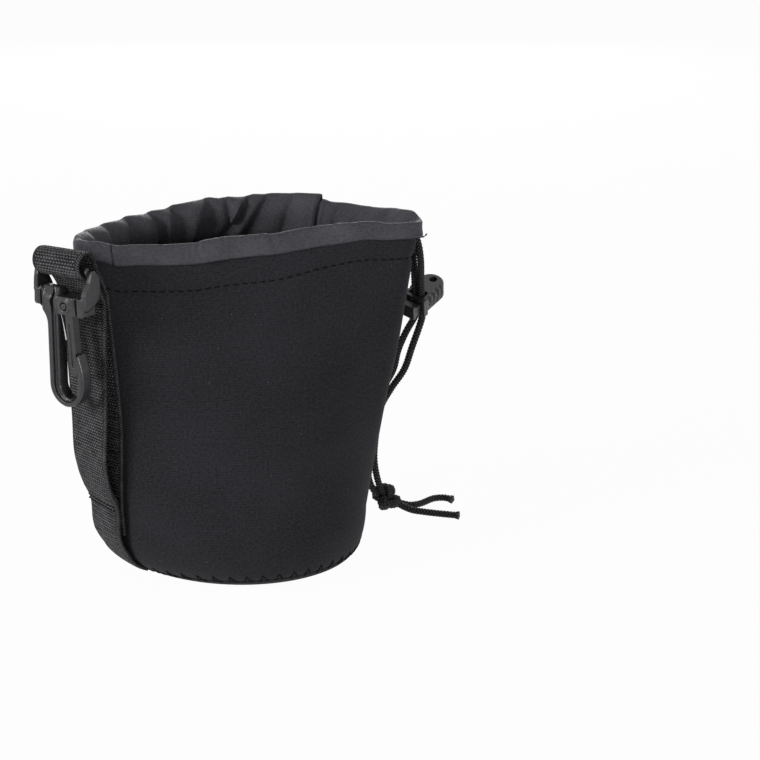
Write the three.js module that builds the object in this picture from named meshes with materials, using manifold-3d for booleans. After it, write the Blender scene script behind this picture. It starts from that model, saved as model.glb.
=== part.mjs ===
// Drawstring lens pouch of neoprene with a nylon hem, a webbing belt loop, a snap hook and a cord lock.
// Millimetres, +Z up, origin at the middle of the flat underside, the webbing strap on the -X side.
import * as THREE from "three";
import { mergeVertices } from "three/addons/utils/BufferGeometryUtils.js";
import Module from "manifold-3d";

const wasm = await Module();
wasm.setup();

const DEGREE = Math.PI / 180;

// Clearance between sewn or touching pieces.
const GAP = 0.3;

// Neoprene tube: round above the base, standing a little to the strap's side of the flat underside.
const NEOPRENE = 3.5;
const WALL_RADIUS = 45.8;
const WALL_LEAN = 6;
const BASE_FLAT_RADIUS = 33.5;
const ROUND_HEIGHT = 18;
const SEAM_HEIGHT = 4;

// Mouth: a flat front, two tight tips and a bowed back, turned against the strap.
const RIM_HEIGHT = 120.5;
const TIP_DROP = 3.5;
const MOUTH_HALF_LENGTH = 59;
const MOUTH_FRONT = 19;
const MOUTH_BACK = 34;
const TIP_INSIDE_RADIUS = 3.5;
const MOUTH_TURN = -17.2 * DEGREE;
const MOUTH_SHIFT_X = -2;
const MOUTH_SHIFT_Y = 0.5;
const STRAP_ON_TIP = 222 * DEGREE;

// Nylon hem: band outside, facing inside, cord tunnel along the fold.
const CLOTH = 0.7;
const HEM_BAND = 8.3;
const HEM_FACING = 21;
const FRONT_SEAM_FROM_TIP = 4;
const BACK_SEAM_SHARE = 0.27;

// Drawcord and the place where its two strands leave the hem.
const CORD = 2.6;
const EXIT_ON_TIP = 5 * DEGREE;
const EXIT_REACH = 9;
const EXIT_BULGE = 1.6 * CORD;
const HEM_CORD_END = 6.5;
const STRAND_APART = CORD + 0.2;
const TUNNEL = CORD + 4 * GAP;

// A strand's way out of the hem: distance along the rim, height against the held cord, distance from the wall.
const STRAND_WAY_OUT = [
  [3.8, 0.2, -0.2],
  [2.2, -0.7, 1.7],
  [1.75, -3, 2.1],
  [1.7, -8, 2.1],
];

// Webbing strap.
const WEBBING_WIDTH = 20;
const WEBBING = 1.4;
const BELT_GAP = 7;
const BELT_GAP_HEIGHT = 50;
const LOW_STITCH_HEIGHT = 28;
const HIGH_STITCH_HEIGHT = 100;
const INNER_END_HEIGHT = 18.5;
const STRAP_HUG = 0.5;
const STRAP_LEAVES_FOOT = 66 * DEGREE;
const FOLD_OUT = 9.5;
const FOLD_HEIGHT = 114;

// How far the belt loop stands out halfway to its two stitches, as shares of its gap.
const LOOP_LOW_SHARE = 0.75;
const LOOP_HIGH_SHARE = 0.45;

// How the two layers swing out from the high stitch to the fold: shares of the swing out and of the rise.
const OUTER_SWING = [
  [0.18, 0.43],
  [0.5, 0.84],
];
const INNER_SWING = [
  [0.46, 1.05],
  [0.3, 0.8],
  [0.12, 0.4],
];

// Snap hook: eye with a bar and two ears, J with a nose, hinged gate.
const BAR_RADIUS = 2.2;
const BAR_PLAY = 1;
const EYE_SIDE_PLAY = 0.8;
const EAR = 2.8;
const EAR_DEPTH = 7.4;
const EAR_TOP = 2.4;
const EAR_BOTTOM = 13.5;
const EAR_SLANT = 6;
const EAR_CORNER = 1.8;
const SHOULDER_DROP = 6.8;
const SHOULDER_LOW = 9.2;
const SHOULDER_STEP = 3.4;
const SHOULDER_BOTTOM = 15.5;
const HOOK_LENGTH = 47.3;
const HOOK_THICK = 5;
const BLOCK_THICK = 6.6;
const HOOK_FORWARD = 1.4;
const LIMB = 4.6;
const SLOT = 4.8;
const GATE = 3.1;
const NOSE = 2.3;
const NOSE_TOP = 28.5;
const NOSE_TAPER = 6;
const GATE_END = 36.5;
const GATE_THICK = 3.2;
const GATE_PIVOT_DROP = 12.4;
const GATE_BARREL = 2.1;
const GATE_FLUTE = 0.9;
const GATE_FLUTE_DEPTH = 0.4;
const STUD_RADIUS = 1.1;
const BOSS_RADIUS = 2.6;
const BOSS_PROUD = 0.5;
const GROOVE = 1.1;
const GROOVE_INSET = 2.9;
const GROOVE_DEPTH = 1.1;
const LEAF = 0.5;
const LEAF_WIDTH = 2.4;
const LEAF_LENGTH = 8;
const EDGE_BEVEL = 0.6;

// Cord lock: flat body with a collar at its mouth, sprung plunger, lanyard hole in the rounded end. It hangs below the cord's way out.
const LOCK_FROM_EXIT = new THREE.Vector3(5.4, 7.4, -17);
const LOCK_LONG_HINT = new THREE.Vector3(0.92, 0.33, 0.19);
const STRAIGHT_ABOVE_LOCK = 9;
const STRAIGHT_BELOW_LOCK = 8;
const LOCK_TRAVEL = 2.2;
const LOCK_HEIGHT = 6.2;
const LOCK_COLLAR = 2.2;
const LOCK_COLLAR_PROUD = 0.45;
const LOCK_SIDE = 0.8;
const PLUNGER_SIDE = 0.7;
const PLUNGER_HEIGHT = 3.8;
const PLUNGER_WEB = 1;
const SPRING_SOLID = 1.8;
const SPRING_COIL = 1.5;
const SPRING_WIRE = 0.5;
const SPRING_TURNS = 4;
const LANYARD_RADIUS = 1.1;
const CAP_THICK = 1.6;

// Knot and the two tails on the floor.
const KNOT_FROM_LOCK_X = 5.4;
const KNOT_FROM_LOCK_Y = 28.4;
const KNOT_RADII = new THREE.Vector3(4.6, 4.3, 4.9);
const KNOT_LUMP = 0.08;
const TAIL_HEIGHT = CORD / 2 + 0.2;

// Smoothness of the faceted solids: steps along each stretch of the mouth outline and across small rounds.
const MOUTH_STEPS = [4, 14, 10, 26, 6];
const ROUND_STEPS = 4;
const WALL_STEPS = 8;
const ARCH_STEPS = 6;
const FACING_STEPS = 3;
const STRAP_STEPS = 4;
const STRAP_COLUMNS = 4;
const LEAF_STEPS = 10;
const ROD_SIDES = 20;
const STUD_SIDES = 16;
const CORD_SIDES = 8;
const STRAND_STEPS = 46;
const TAIL_STEPS = 12;
const COIL_SIDES = 6;
const COIL_STEPS = 12;
const KNOT_SIDES = 20;
const KNOT_RINGS = 14;

const neoprene = new THREE.MeshStandardMaterial({ color: 0x2c2c30, roughness: 0.9, metalness: 0 });
const nylon = new THREE.MeshStandardMaterial({ color: 0x3c3c40, roughness: 0.75, metalness: 0 });
const webbing = new THREE.MeshStandardMaterial({ color: 0x1c1c1e, roughness: 0.85, metalness: 0 });
const cordage = new THREE.MeshStandardMaterial({ color: 0x151517, roughness: 0.85, metalness: 0 });
const plastic = new THREE.MeshStandardMaterial({ color: 0x2a2a2d, roughness: 0.45, metalness: 0 });
const steel = new THREE.MeshStandardMaterial({ color: 0x9a9a9c, roughness: 0.35, metalness: 1 });

const pouch = new THREE.Group();

function place(name, geometry, material, parent = pouch) {
  const mesh = new THREE.Mesh(geometry, material);
  mesh.name = name;
  parent.add(mesh);
  return mesh;
}

// Solid through a list of closed rings of points. The rings close on the first one, or end in flat strips.
function ringSolid(rings, closed) {
  const count = rings[0].length;
  const positions = rings.flat().flatMap((point) => [point.x, point.y, point.z]);
  const faces = [];
  const quad = (a, b, c, d) => faces.push(a, b, c, a, c, d);
  const last = closed ? rings.length : rings.length - 1;
  for (let i = 0; i < last; i++) {
    const here = i * count;
    const next = ((i + 1) % rings.length) * count;
    for (let j = 0; j < count; j++) {
      const k = (j + 1) % count;
      quad(here + j, next + j, next + k, here + k);
    }
  }
  if (!closed) {
    const end = (rings.length - 1) * count;
    for (let j = 0; j < count / 2 - 1; j++) {
      quad(j, j + 1, count - 2 - j, count - 1 - j);
      quad(end + count - 1 - j, end + count - 2 - j, end + j + 1, end + j);
    }
  }
  const geometry = new THREE.BufferGeometry();
  geometry.setAttribute("position", new THREE.Float32BufferAttribute(positions, 3));
  geometry.setIndex(signedVolume(positions, faces) < 0 ? faces.reverse() : faces);
  geometry.computeVertexNormals();
  return geometry;
}

function signedVolume(positions, faces) {
  const corner = (index) => new THREE.Vector3().fromArray(positions, 3 * index);
  let volume = 0;
  for (let i = 0; i < faces.length; i += 3) {
    volume += corner(faces[i]).dot(corner(faces[i + 1]).cross(corner(faces[i + 2])));
  }
  return volume;
}

// Outline of the mouth's outer face, starting at the strap and running past the front.
const tipRadius = TIP_INSIDE_RADIUS + NEOPRENE;
const tipX = MOUTH_HALF_LENGTH - tipRadius;
const tipY = tipRadius - MOUTH_FRONT;
const backInset = MOUTH_BACK - tipRadius;
const backY = (tipX ** 2 + tipY ** 2 - backInset ** 2) / (2 * (tipY - backInset));
const tipEnd = Math.atan2(tipY - backY, tipX);
const mouth = new THREE.Path();
mouth.absarc(-tipX, tipY, tipRadius, STRAP_ON_TIP, 1.5 * Math.PI, false);
mouth.lineTo(tipX, -MOUTH_FRONT);
mouth.absarc(tipX, tipY, tipRadius, -Math.PI / 2, tipEnd, false);
mouth.absarc(0, backY, MOUTH_BACK - backY, tipEnd, Math.PI - tipEnd, false);
mouth.absarc(-tipX, tipY, tipRadius, Math.PI - tipEnd, STRAP_ON_TIP, false);
const mouthCurves = mouth.curves.filter((curve) => curve.getLength() > GAP / 10);
const mouthLengths = mouthCurves.map((curve) => curve.getLength());
const perimeter = mouthLengths.reduce((sum, length) => sum + length, 0);

function mouthPoint(share) {
  let along = (share - Math.floor(share)) * perimeter;
  let index = 0;
  while (index < mouthCurves.length - 1 && along > mouthLengths[index]) {
    along -= mouthLengths[index];
    index += 1;
  }
  return mouthCurves[index].getPointAt(Math.min(1, along / mouthLengths[index]));
}

function mouthStart(index) {
  return mouthLengths.slice(0, index).reduce((sum, length) => sum + length, 0) / perimeter;
}

const exitShare = mouthStart(2) + (tipRadius * (EXIT_ON_TIP + Math.PI / 2)) / perimeter;
const frontSeam = mouthStart(1) + FRONT_SEAM_FROM_TIP / perimeter;
const backSeam = mouthStart(3) + (BACK_SEAM_SHARE * mouthLengths[3]) / perimeter;

const stations = MOUTH_STEPS.flatMap((steps, index) =>
  Array.from({ length: steps }, (_, step) => mouthStart(index) + (step / steps) * (mouthLengths[index] / perimeter)),
);

function stationsBetween(from, to) {
  const laps = [...stations, ...stations.map((share) => share + 1)];
  const margin = GAP / perimeter;
  return [from, ...laps.filter((share) => share > from + margin && share < to - margin), to];
}

function rimHeight(share) {
  return RIM_HEIGHT - TIP_DROP * (mouthPoint(share).x / MOUTH_HALF_LENGTH) ** 2;
}

// Plan position on the wall's outer face: a circle low down that turns into the mouth outline at the rim.
function planPoint(share, blend) {
  const angle = Math.PI + 2 * Math.PI * share;
  const round = new THREE.Vector2(WALL_RADIUS * Math.cos(angle) - WALL_LEAN, WALL_RADIUS * Math.sin(angle));
  const top = mouthPoint(share).rotateAround(new THREE.Vector2(), MOUTH_TURN);
  top.add(new THREE.Vector2(MOUTH_SHIFT_X, MOUTH_SHIFT_Y));
  return round.lerp(top, blend);
}

function planTangent(share, blend) {
  const step = GAP / perimeter;
  return planPoint(share + step, blend).sub(planPoint(share - step, blend)).normalize();
}

function blendAt(share, height) {
  return Math.max(0, (height - ROUND_HEIGHT) / (rimHeight(share) - ROUND_HEIGHT));
}

// Point at a height on the wall, moved outward by a distance.
function onWall(share, height, outward) {
  const blend = blendAt(share, height);
  const plan = planPoint(share, blend);
  const tangent = planTangent(share, blend);
  return new THREE.Vector3(plan.x + outward * tangent.y, plan.y - outward * tangent.x, height);
}

// Point on the rounded foot of the wall. The turn runs from flat underside to upright wall.
function onFoot(share, turn, inward) {
  const angle = Math.PI + 2 * Math.PI * share;
  const reach = WALL_RADIUS - BASE_FLAT_RADIUS;
  const normal = new THREE.Vector2(Math.sin(turn) / reach, -Math.cos(turn) / ROUND_HEIGHT).normalize();
  const radius = BASE_FLAT_RADIUS + reach * Math.sin(turn) - inward * normal.x;
  const height = ROUND_HEIGHT * (1 - Math.cos(turn)) - inward * normal.y;
  return new THREE.Vector3(radius * Math.cos(angle) - WALL_LEAN * Math.sin(turn), radius * Math.sin(angle), height);
}

function spread(from, to, steps) {
  return Array.from({ length: steps + 1 }, (_, step) => from + ((to - from) * step) / steps);
}

// Neoprene wall and base disc, butted at the base seam.
const seamTurn = Math.acos(1 - SEAM_HEIGHT / ROUND_HEIGHT);
const seamHalfGap = GAP / 2 / Math.min(ROUND_HEIGHT, WALL_RADIUS - BASE_FLAT_RADIUS);
const wallTurns = spread(seamTurn + seamHalfGap, Math.PI / 2, ROUND_STEPS);
const baseTurns = spread(0, seamTurn - seamHalfGap, ROUND_STEPS);

function wallEdge(share) {
  return rimHeight(share) - CLOTH - TUNNEL;
}

const wallRings = stations.map((share) => {
  const heights = spread(ROUND_HEIGHT, wallEdge(share), WALL_STEPS).slice(1);
  const skin = (inward) => [
    ...wallTurns.map((turn) => onFoot(share, turn, inward)),
    ...heights.map((height) => onWall(share, height, -inward)),
  ];
  return [...skin(0), ...skin(NEOPRENE).reverse()];
});
place("neoprene_wall", ringSolid(wallRings, true), neoprene);

const baseRings = [
  ...baseTurns.map((turn) => stations.map((share) => onFoot(share, turn, 0))),
  ...baseTurns.toReversed().map((turn) => stations.map((share) => onFoot(share, turn, NEOPRENE))),
];
place("base_disc", ringSolid(baseRings, false), neoprene);

// Nylon hem in two panels: band, fold with the cord tunnel, facing. The band bulges over the cord's way out.
function exitBulge(share) {
  const away = Math.abs(share - Math.floor(share) - exitShare) * perimeter;
  return away < EXIT_REACH ? EXIT_BULGE * Math.cos((Math.PI / 2) * (away / EXIT_REACH)) ** 2 : 0;
}

function hemRing(share) {
  const band = GAP + exitBulge(share);
  const facing = -NEOPRENE - GAP;
  const middle = (band + facing) / 2;
  const half = (band - facing) / 2;
  const skin = (grow) => [
    onWall(share, rimHeight(share) - HEM_BAND, band + grow),
    ...spread(0, Math.PI, ARCH_STEPS).map((angle) => {
      const height = wallEdge(share) + (TUNNEL + grow) * Math.sin(angle);
      return onWall(share, height, middle + (half + grow) * Math.cos(angle));
    }),
    ...spread(wallEdge(share), rimHeight(share) - HEM_FACING, FACING_STEPS)
      .slice(1)
      .map((height) => onWall(share, height, facing - grow)),
  ];
  return [...skin(CLOTH), ...skin(0).reverse()];
}

const seamHalf = GAP / 2 / perimeter;
const frontPanel = stationsBetween(frontSeam + seamHalf, backSeam - seamHalf);
const backPanel = stationsBetween(backSeam + seamHalf, 1 + frontSeam - seamHalf);
place("hem_front", ringSolid(frontPanel.map(hemRing), false), nylon);
place("hem_back", ringSolid(backPanel.map(hemRing), false), nylon);

// Drawcord held in the tunnel, lying on the wall's top edge.
const hemCordHeight = (share) => wallEdge(share) + GAP + CORD / 2;
const hemCordEnd = HEM_CORD_END / perimeter;
const hemCordRings = stationsBetween(exitShare + hemCordEnd, 1 + exitShare - hemCordEnd).map((share) =>
  spread(0, 2 * Math.PI, CORD_SIDES)
    .slice(1)
    .map((angle) => {
      const outward = (CORD / 2) * Math.cos(angle) - NEOPRENE / 2;
      return onWall(share, hemCordHeight(share) + (CORD / 2) * Math.sin(angle), outward);
    }),
);
place("drawcord_hem", ringSolid(hemCordRings, false), cordage);

// Webbing strap: from the base seam up the outside, round the hook's bar and down the wall.
// Its path is drawn as distance from the wall against height.
const foldRadius = BAR_RADIUS + BAR_PLAY + GAP + WEBBING / 2;
const innerOut = GAP + WEBBING / 2;
const outerOut = innerOut + GAP + WEBBING;

function strapFoot(turn, out) {
  const reach = WALL_RADIUS - BASE_FLAT_RADIUS + WALL_LEAN;
  const normal = new THREE.Vector2(Math.sin(turn) / reach, -Math.cos(turn) / ROUND_HEIGHT).normalize();
  const inset = reach * (Math.sin(turn) - 1);
  return new THREE.Vector2(inset + out * normal.x, ROUND_HEIGHT * (1 - Math.cos(turn)) + out * normal.y);
}

const strapPath = new THREE.Path();
const foldFoot = FOLD_HEIGHT - foldRadius;
const foldBack = FOLD_OUT - foldRadius;
const rise = foldFoot - HIGH_STITCH_HEIGHT;
const swing = FOLD_OUT - outerOut;
const swungOut = (from) => ([out, up]) => new THREE.Vector2(from + out * swing, HIGH_STITCH_HEIGHT + up * rise);
const strapFootTurns = spread(seamTurn, STRAP_LEAVES_FOOT, 3);
const strapStart = strapFoot(strapFootTurns[0], innerOut);
strapPath.moveTo(strapStart.x, strapStart.y);
strapPath.splineThru([
  ...strapFootTurns.slice(1).map((turn) => strapFoot(turn, innerOut)),
  strapFoot(Math.acos(1 - (INNER_END_HEIGHT - WEBBING) / ROUND_HEIGHT), outerOut),
  new THREE.Vector2(outerOut, LOW_STITCH_HEIGHT),
  new THREE.Vector2(outerOut + LOOP_LOW_SHARE * BELT_GAP, (LOW_STITCH_HEIGHT + BELT_GAP_HEIGHT) / 2),
  new THREE.Vector2(outerOut + BELT_GAP, BELT_GAP_HEIGHT),
  new THREE.Vector2(outerOut + LOOP_HIGH_SHARE * BELT_GAP, (BELT_GAP_HEIGHT + HIGH_STITCH_HEIGHT) / 2),
  new THREE.Vector2(outerOut, HIGH_STITCH_HEIGHT),
]);
strapPath.splineThru([...OUTER_SWING.map(swungOut(outerOut)), new THREE.Vector2(FOLD_OUT, foldFoot)]);
strapPath.absarc(FOLD_OUT, FOLD_HEIGHT, foldRadius, -Math.PI / 2, Math.PI, false);
strapPath.splineThru([
  ...INNER_SWING.map(swungOut(innerOut)),
  new THREE.Vector2(innerOut, HIGH_STITCH_HEIGHT),
  new THREE.Vector2(innerOut, (HIGH_STITCH_HEIGHT + INNER_END_HEIGHT) / 2),
  new THREE.Vector2(innerOut, INNER_END_HEIGHT),
]);
const strapLine = strapPath.getPoints(STRAP_STEPS).filter((point, index, all) => {
  return index === 0 || point.distanceTo(all[index - 1]) > GAP;
});

function onStrap(side, out, height) {
  const hug = STRAP_HUG * THREE.MathUtils.clamp(1 - (out - outerOut) / WEBBING, 0, 1);
  const middle = onWall(0, height, out);
  const tangent = planTangent(0, blendAt(0, height));
  const flat = middle.addScaledVector(new THREE.Vector3(tangent.x, tangent.y, 0), side);
  return flat.lerp(onWall(side / perimeter, height, out), hug);
}

const strapSides = spread(-WEBBING_WIDTH / 2, WEBBING_WIDTH / 2, STRAP_COLUMNS);
const strapRings = strapLine.map((point, index) => {
  const before = strapLine[Math.max(0, index - 1)];
  const after = strapLine[Math.min(strapLine.length - 1, index + 1)];
  const along = after.clone().sub(before).normalize().multiplyScalar(WEBBING / 2);
  const face = (sign) => strapSides.map((side) => onStrap(side, point.x + sign * along.y, point.y - sign * along.x));
  return [...face(1), ...face(-1).reverse()];
});
place("webbing_strap", ringSolid(strapRings, false), webbing);

// Boolean helpers.
function solid(geometry) {
  const bare = geometry.index ? geometry.toNonIndexed() : geometry.clone();
  bare.deleteAttribute("normal");
  bare.deleteAttribute("uv");
  const merged = mergeVertices(bare, 1e-3);
  const vertProperties = new Float32Array(merged.attributes.position.array);
  const triVerts = new Uint32Array(merged.index.array);
  return new wasm.Manifold(new wasm.Mesh({ numProp: 3, vertProperties, triVerts }));
}

function shapeOf(body) {
  const mesh = body.getMesh();
  const geometry = new THREE.BufferGeometry();
  geometry.setAttribute("position", new THREE.Float32BufferAttribute(mesh.vertProperties, 3));
  geometry.setIndex(Array.from(mesh.triVerts));
  geometry.computeVertexNormals();
  return geometry;
}

function block(width, depth, height, x, y, z) {
  return solid(new THREE.BoxGeometry(width, depth, height).translate(x, y, z));
}

// Plate drawn in X and Z, with its thickness along Y.
function upright(shape, thick, y, bevel) {
  const options = { depth: thick - 2 * bevel, curveSegments: 10, bevelEnabled: bevel > 0 };
  Object.assign(options, { bevelThickness: bevel, bevelSize: bevel, bevelOffset: -bevel, bevelSegments: 1 });
  const geometry = new THREE.ExtrudeGeometry(shape, options);
  return solid(geometry.rotateX(Math.PI / 2).translate(0, y + thick / 2 - bevel, 0));
}

function rod(radius, length, sides) {
  return new THREE.CylinderGeometry(radius, radius, length, sides);
}

// Snap hook, in a group whose origin is on the bar's axis: X along the bar, Y toward the wall.
const hook = new THREE.Group();
const barHeight = FOLD_HEIGHT - BAR_PLAY;
const barTangent = planTangent(0, blendAt(0, barHeight));
hook.position.copy(onStrap(0, FOLD_OUT, barHeight));
hook.rotation.z = Math.atan2(barTangent.y, barTangent.x);
pouch.add(hook);

const eyeHalf = WEBBING_WIDTH / 2 + EYE_SIDE_PLAY;
const hookWidth = LIMB + SLOT + GATE + GAP + NOSE;
const left = -hookWidth / 2;
const limbInner = left + LIMB;
const gateInner = limbInner + SLOT;
const gateOuter = gateInner + GATE;
const noseInner = gateOuter + GAP;
const right = noseInner + NOSE;
const turnCentre = -HOOK_LENGTH + hookWidth / 2;
const throatRadius = (noseInner - limbInner) / 2;
const throatX = (noseInner + limbInner) / 2;

const plate = new THREE.Shape();
plate.moveTo(-eyeHalf - EAR / 2, -SHOULDER_DROP);
plate.lineTo(-eyeHalf - EAR / 2, -EAR_BOTTOM + EAR);
plate.bezierCurveTo(-eyeHalf, -SHOULDER_BOTTOM, left, -SHOULDER_BOTTOM, left, -SHOULDER_BOTTOM - LIMB);
plate.lineTo(left, turnCentre);
plate.absarc(0, turnCentre, hookWidth / 2, Math.PI, 2 * Math.PI, false);
plate.lineTo(right, -NOSE_TOP - NOSE_TAPER);
plate.lineTo(noseInner + NOSE / 2, -NOSE_TOP);
plate.lineTo(noseInner, -NOSE_TOP - NOSE / 2);
plate.lineTo(noseInner, turnCentre);
plate.absarc(throatX, turnCentre, throatRadius, 0, -Math.PI, true);
plate.lineTo(limbInner, -SHOULDER_BOTTOM);
plate.lineTo(right, -SHOULDER_BOTTOM);
plate.lineTo(eyeHalf + EAR / 2, -EAR_BOTTOM + EAR);
plate.lineTo(eyeHalf + EAR / 2, -SHOULDER_LOW);
plate.lineTo(limbInner + SHOULDER_STEP, -SHOULDER_LOW);
plate.lineTo(limbInner + SHOULDER_STEP / 2, -SHOULDER_DROP);
plate.closePath();

const ear = new THREE.Shape();
const earHalf = EAR_DEPTH / 2;
ear.moveTo(-earHalf, 0);
const earFront = -earHalf - HOOK_FORWARD / 2;
ear.lineTo(earFront, -EAR_BOTTOM + EAR_CORNER);
ear.quadraticCurveTo(earFront, -EAR_BOTTOM, earFront + EAR_CORNER, -EAR_BOTTOM);
ear.quadraticCurveTo(earHalf, -EAR_BOTTOM + EAR_CORNER, earHalf, -EAR_BOTTOM + EAR_SLANT);
ear.lineTo(earHalf, 0);
ear.absellipse(0, 0, earHalf, EAR_TOP, 0, Math.PI, false, 0);
const earTurn = new THREE.Matrix4().makeBasis(
  new THREE.Vector3(0, 1, 0),
  new THREE.Vector3(0, 0, 1),
  new THREE.Vector3(1, 0, 0),
);
const earBevel = GAP;
const earOptions = { depth: EAR - 2 * earBevel, curveSegments: 8, bevelEnabled: true, bevelSegments: 1 };
Object.assign(earOptions, { bevelThickness: earBevel, bevelSize: earBevel, bevelOffset: -earBevel });
const earSolid = solid(new THREE.ExtrudeGeometry(ear, earOptions).applyMatrix4(earTurn));
const ears = earSolid.translate([eyeHalf + earBevel, 0, 0]).add(earSolid.translate([-eyeHalf - EAR + earBevel, 0, 0]));

const bar = solid(rod(BAR_RADIUS, 2 * eyeHalf + EAR, ROD_SIDES).rotateZ(Math.PI / 2));
const blockHeight = SHOULDER_BOTTOM - SHOULDER_LOW;
const shoulderBlock = block(
  eyeHalf + EAR / 2 - limbInner,
  BLOCK_THICK,
  blockHeight,
  (eyeHalf + EAR / 2 + limbInner) / 2,
  -HOOK_FORWARD,
  -SHOULDER_LOW - blockHeight / 2,
);

// Knuckle at the limb's top, rounded over from front to back.
const knuckleRound = BLOCK_THICK / 2;
const knuckleWidth = LIMB + SHOULDER_STEP / 2;
const knuckleHeight = SHOULDER_BOTTOM - SHOULDER_DROP - knuckleRound;
const knuckleX = left + knuckleWidth / 2;
const knuckleTop = solid(
  rod(knuckleRound, knuckleWidth, ROD_SIDES)
    .rotateZ(Math.PI / 2)
    .translate(knuckleX, -HOOK_FORWARD, -SHOULDER_DROP - knuckleRound),
);
const knuckle = knuckleTop.add(
  block(knuckleWidth, BLOCK_THICK, knuckleHeight, knuckleX, -HOOK_FORWARD, -SHOULDER_BOTTOM + knuckleHeight / 2),
);

// Room for the gate's barrel between two cheeks, with holes for its studs.
const pivotX = (gateInner + gateOuter) / 2;
const slotThick = GATE_THICK + 2 * GAP;
const barrelRoom = GATE_BARREL + GAP;
const roomHeight = SHOULDER_BOTTOM - GATE_PIVOT_DROP + GAP;
const onPivot = (geometry) => solid(geometry.translate(pivotX, -HOOK_FORWARD, -GATE_PIVOT_DROP));
const barrelPocket = onPivot(rod(barrelRoom, slotThick, ROD_SIDES));
const gateRoom = block(
  2 * barrelRoom,
  slotThick,
  roomHeight,
  pivotX,
  -HOOK_FORWARD,
  -GATE_PIVOT_DROP - roomHeight / 2,
);
const boss = onPivot(rod(BOSS_RADIUS, BLOCK_THICK + 2 * BOSS_PROUD, ROD_SIDES));
const studHole = onPivot(rod(STUD_RADIUS + GAP, 2 * BLOCK_THICK, STUD_SIDES));

// Groove that follows the limb and the turn on both broad faces.
const grooveCentre = (inset) => (throatX * inset) / LIMB;
const grooveRadius = (inset) => hookWidth / 2 + ((throatRadius - hookWidth / 2) * inset) / LIMB;
const grooveFarSide = GROOVE_INSET + GROOVE;
const grooveEnd = 1.8 * Math.PI;
const groove = new THREE.Shape();
groove.moveTo(left + GROOVE_INSET, -SHOULDER_DROP);
groove.lineTo(left + GROOVE_INSET, turnCentre);
groove.absarc(grooveCentre(GROOVE_INSET), turnCentre, grooveRadius(GROOVE_INSET), Math.PI, grooveEnd, false);
groove.absarc(grooveCentre(grooveFarSide), turnCentre, grooveRadius(grooveFarSide), grooveEnd, Math.PI, true);
groove.lineTo(left + grooveFarSide, -SHOULDER_DROP);
groove.closePath();
const grooveFar = HOOK_THICK / 2 + GROOVE_DEPTH;
const grooves = [-1, 1].map((side) => {
  return upright(groove, 4 * GROOVE_DEPTH, -HOOK_FORWARD + side * grooveFar, 0);
});

let hookSolid = upright(plate, HOOK_THICK, -HOOK_FORWARD, EDGE_BEVEL);
for (const grown of [shoulderBlock, knuckle, boss, ears, bar]) {
  hookSolid = hookSolid.add(grown);
}
for (const cut of [barrelPocket, gateRoom, studHole, ...grooves]) {
  hookSolid = hookSolid.subtract(cut);
}
place("hook_body", shapeOf(hookSolid), plastic, hook);

// Gate: barrel with two studs and a straight arm that rests inside the nose.
const arm = new THREE.Shape();
arm.moveTo(gateInner, -GATE_PIVOT_DROP);
arm.lineTo(gateInner, -GATE_END + GATE / 2);
arm.absarc(pivotX, -GATE_END + GATE / 2, GATE / 2, Math.PI, 2 * Math.PI, false);
arm.lineTo(gateOuter, -GATE_PIVOT_DROP);
arm.closePath();
const barrel = onPivot(rod(GATE_BARREL, GATE_THICK, ROD_SIDES));
const studs = onPivot(rod(STUD_RADIUS, BLOCK_THICK + 2 * BOSS_PROUD, STUD_SIDES));
const fluteLength = GATE_END - SHOULDER_BOTTOM - 2 * GATE;
const fluteMiddle = -(GATE_END + SHOULDER_BOTTOM) / 2;
const fluteAt = (face) => {
  const y = -HOOK_FORWARD + (face * GATE_THICK) / 2;
  return block(GATE_FLUTE, 2 * GATE_FLUTE_DEPTH, fluteLength, pivotX, y, fluteMiddle);
};
const flutedArm = upright(arm, GATE_THICK, -HOOK_FORWARD, 0).subtract(fluteAt(-1)).subtract(fluteAt(1));
const gateSolid = flutedArm.add(barrel).add(studs);
place("hook_gate", shapeOf(gateSolid), plastic, hook);

// Leaf spring between the limb's shoulder and the gate.
const leafTop = -SHOULDER_BOTTOM - GAP - LEAF;
const leafRest = gateInner - GAP - LEAF;
const leafLine = new THREE.QuadraticBezierCurve3(
  new THREE.Vector3(limbInner + 2 * GAP + LEAF, -HOOK_FORWARD, leafTop),
  new THREE.Vector3(leafRest - LEAF, -HOOK_FORWARD, leafTop),
  new THREE.Vector3(leafRest, -HOOK_FORWARD, leafTop - LEAF_LENGTH),
).getPoints(LEAF_STEPS);
const leafRings = leafLine.map((point, index) => {
  const before = leafLine[Math.max(0, index - 1)];
  const after = leafLine[Math.min(leafLine.length - 1, index + 1)];
  const along = after.clone().sub(before).normalize().multiplyScalar(LEAF / 2);
  const corner = (side, sign) =>
    new THREE.Vector3(point.x - sign * along.z, point.y + (side * LEAF_WIDTH) / 2, point.z + sign * along.x);
  return [corner(-1, 1), corner(1, 1), corner(1, -1), corner(-1, -1)];
});
place("gate_spring", ringSolid(leafRings, false), steel, hook);

// Cord lock, in a group centred on the two strands: X to the rounded end, Z up the cord.
const lock = new THREE.Group();
const cordTop = onWall(exitShare, hemCordHeight(exitShare) - HEM_BAND, CORD);
const lockCentre = cordTop.clone().add(LOCK_FROM_EXIT);
const lockUp = LOCK_FROM_EXIT.clone().negate().normalize();
const lockAcross = new THREE.Vector3().crossVectors(lockUp, LOCK_LONG_HINT).normalize();
const lockLong = new THREE.Vector3().crossVectors(lockAcross, lockUp);
lock.setRotationFromMatrix(new THREE.Matrix4().makeBasis(lockLong, lockAcross, lockUp));
lock.position.copy(lockCentre);
pouch.add(lock);

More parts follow.
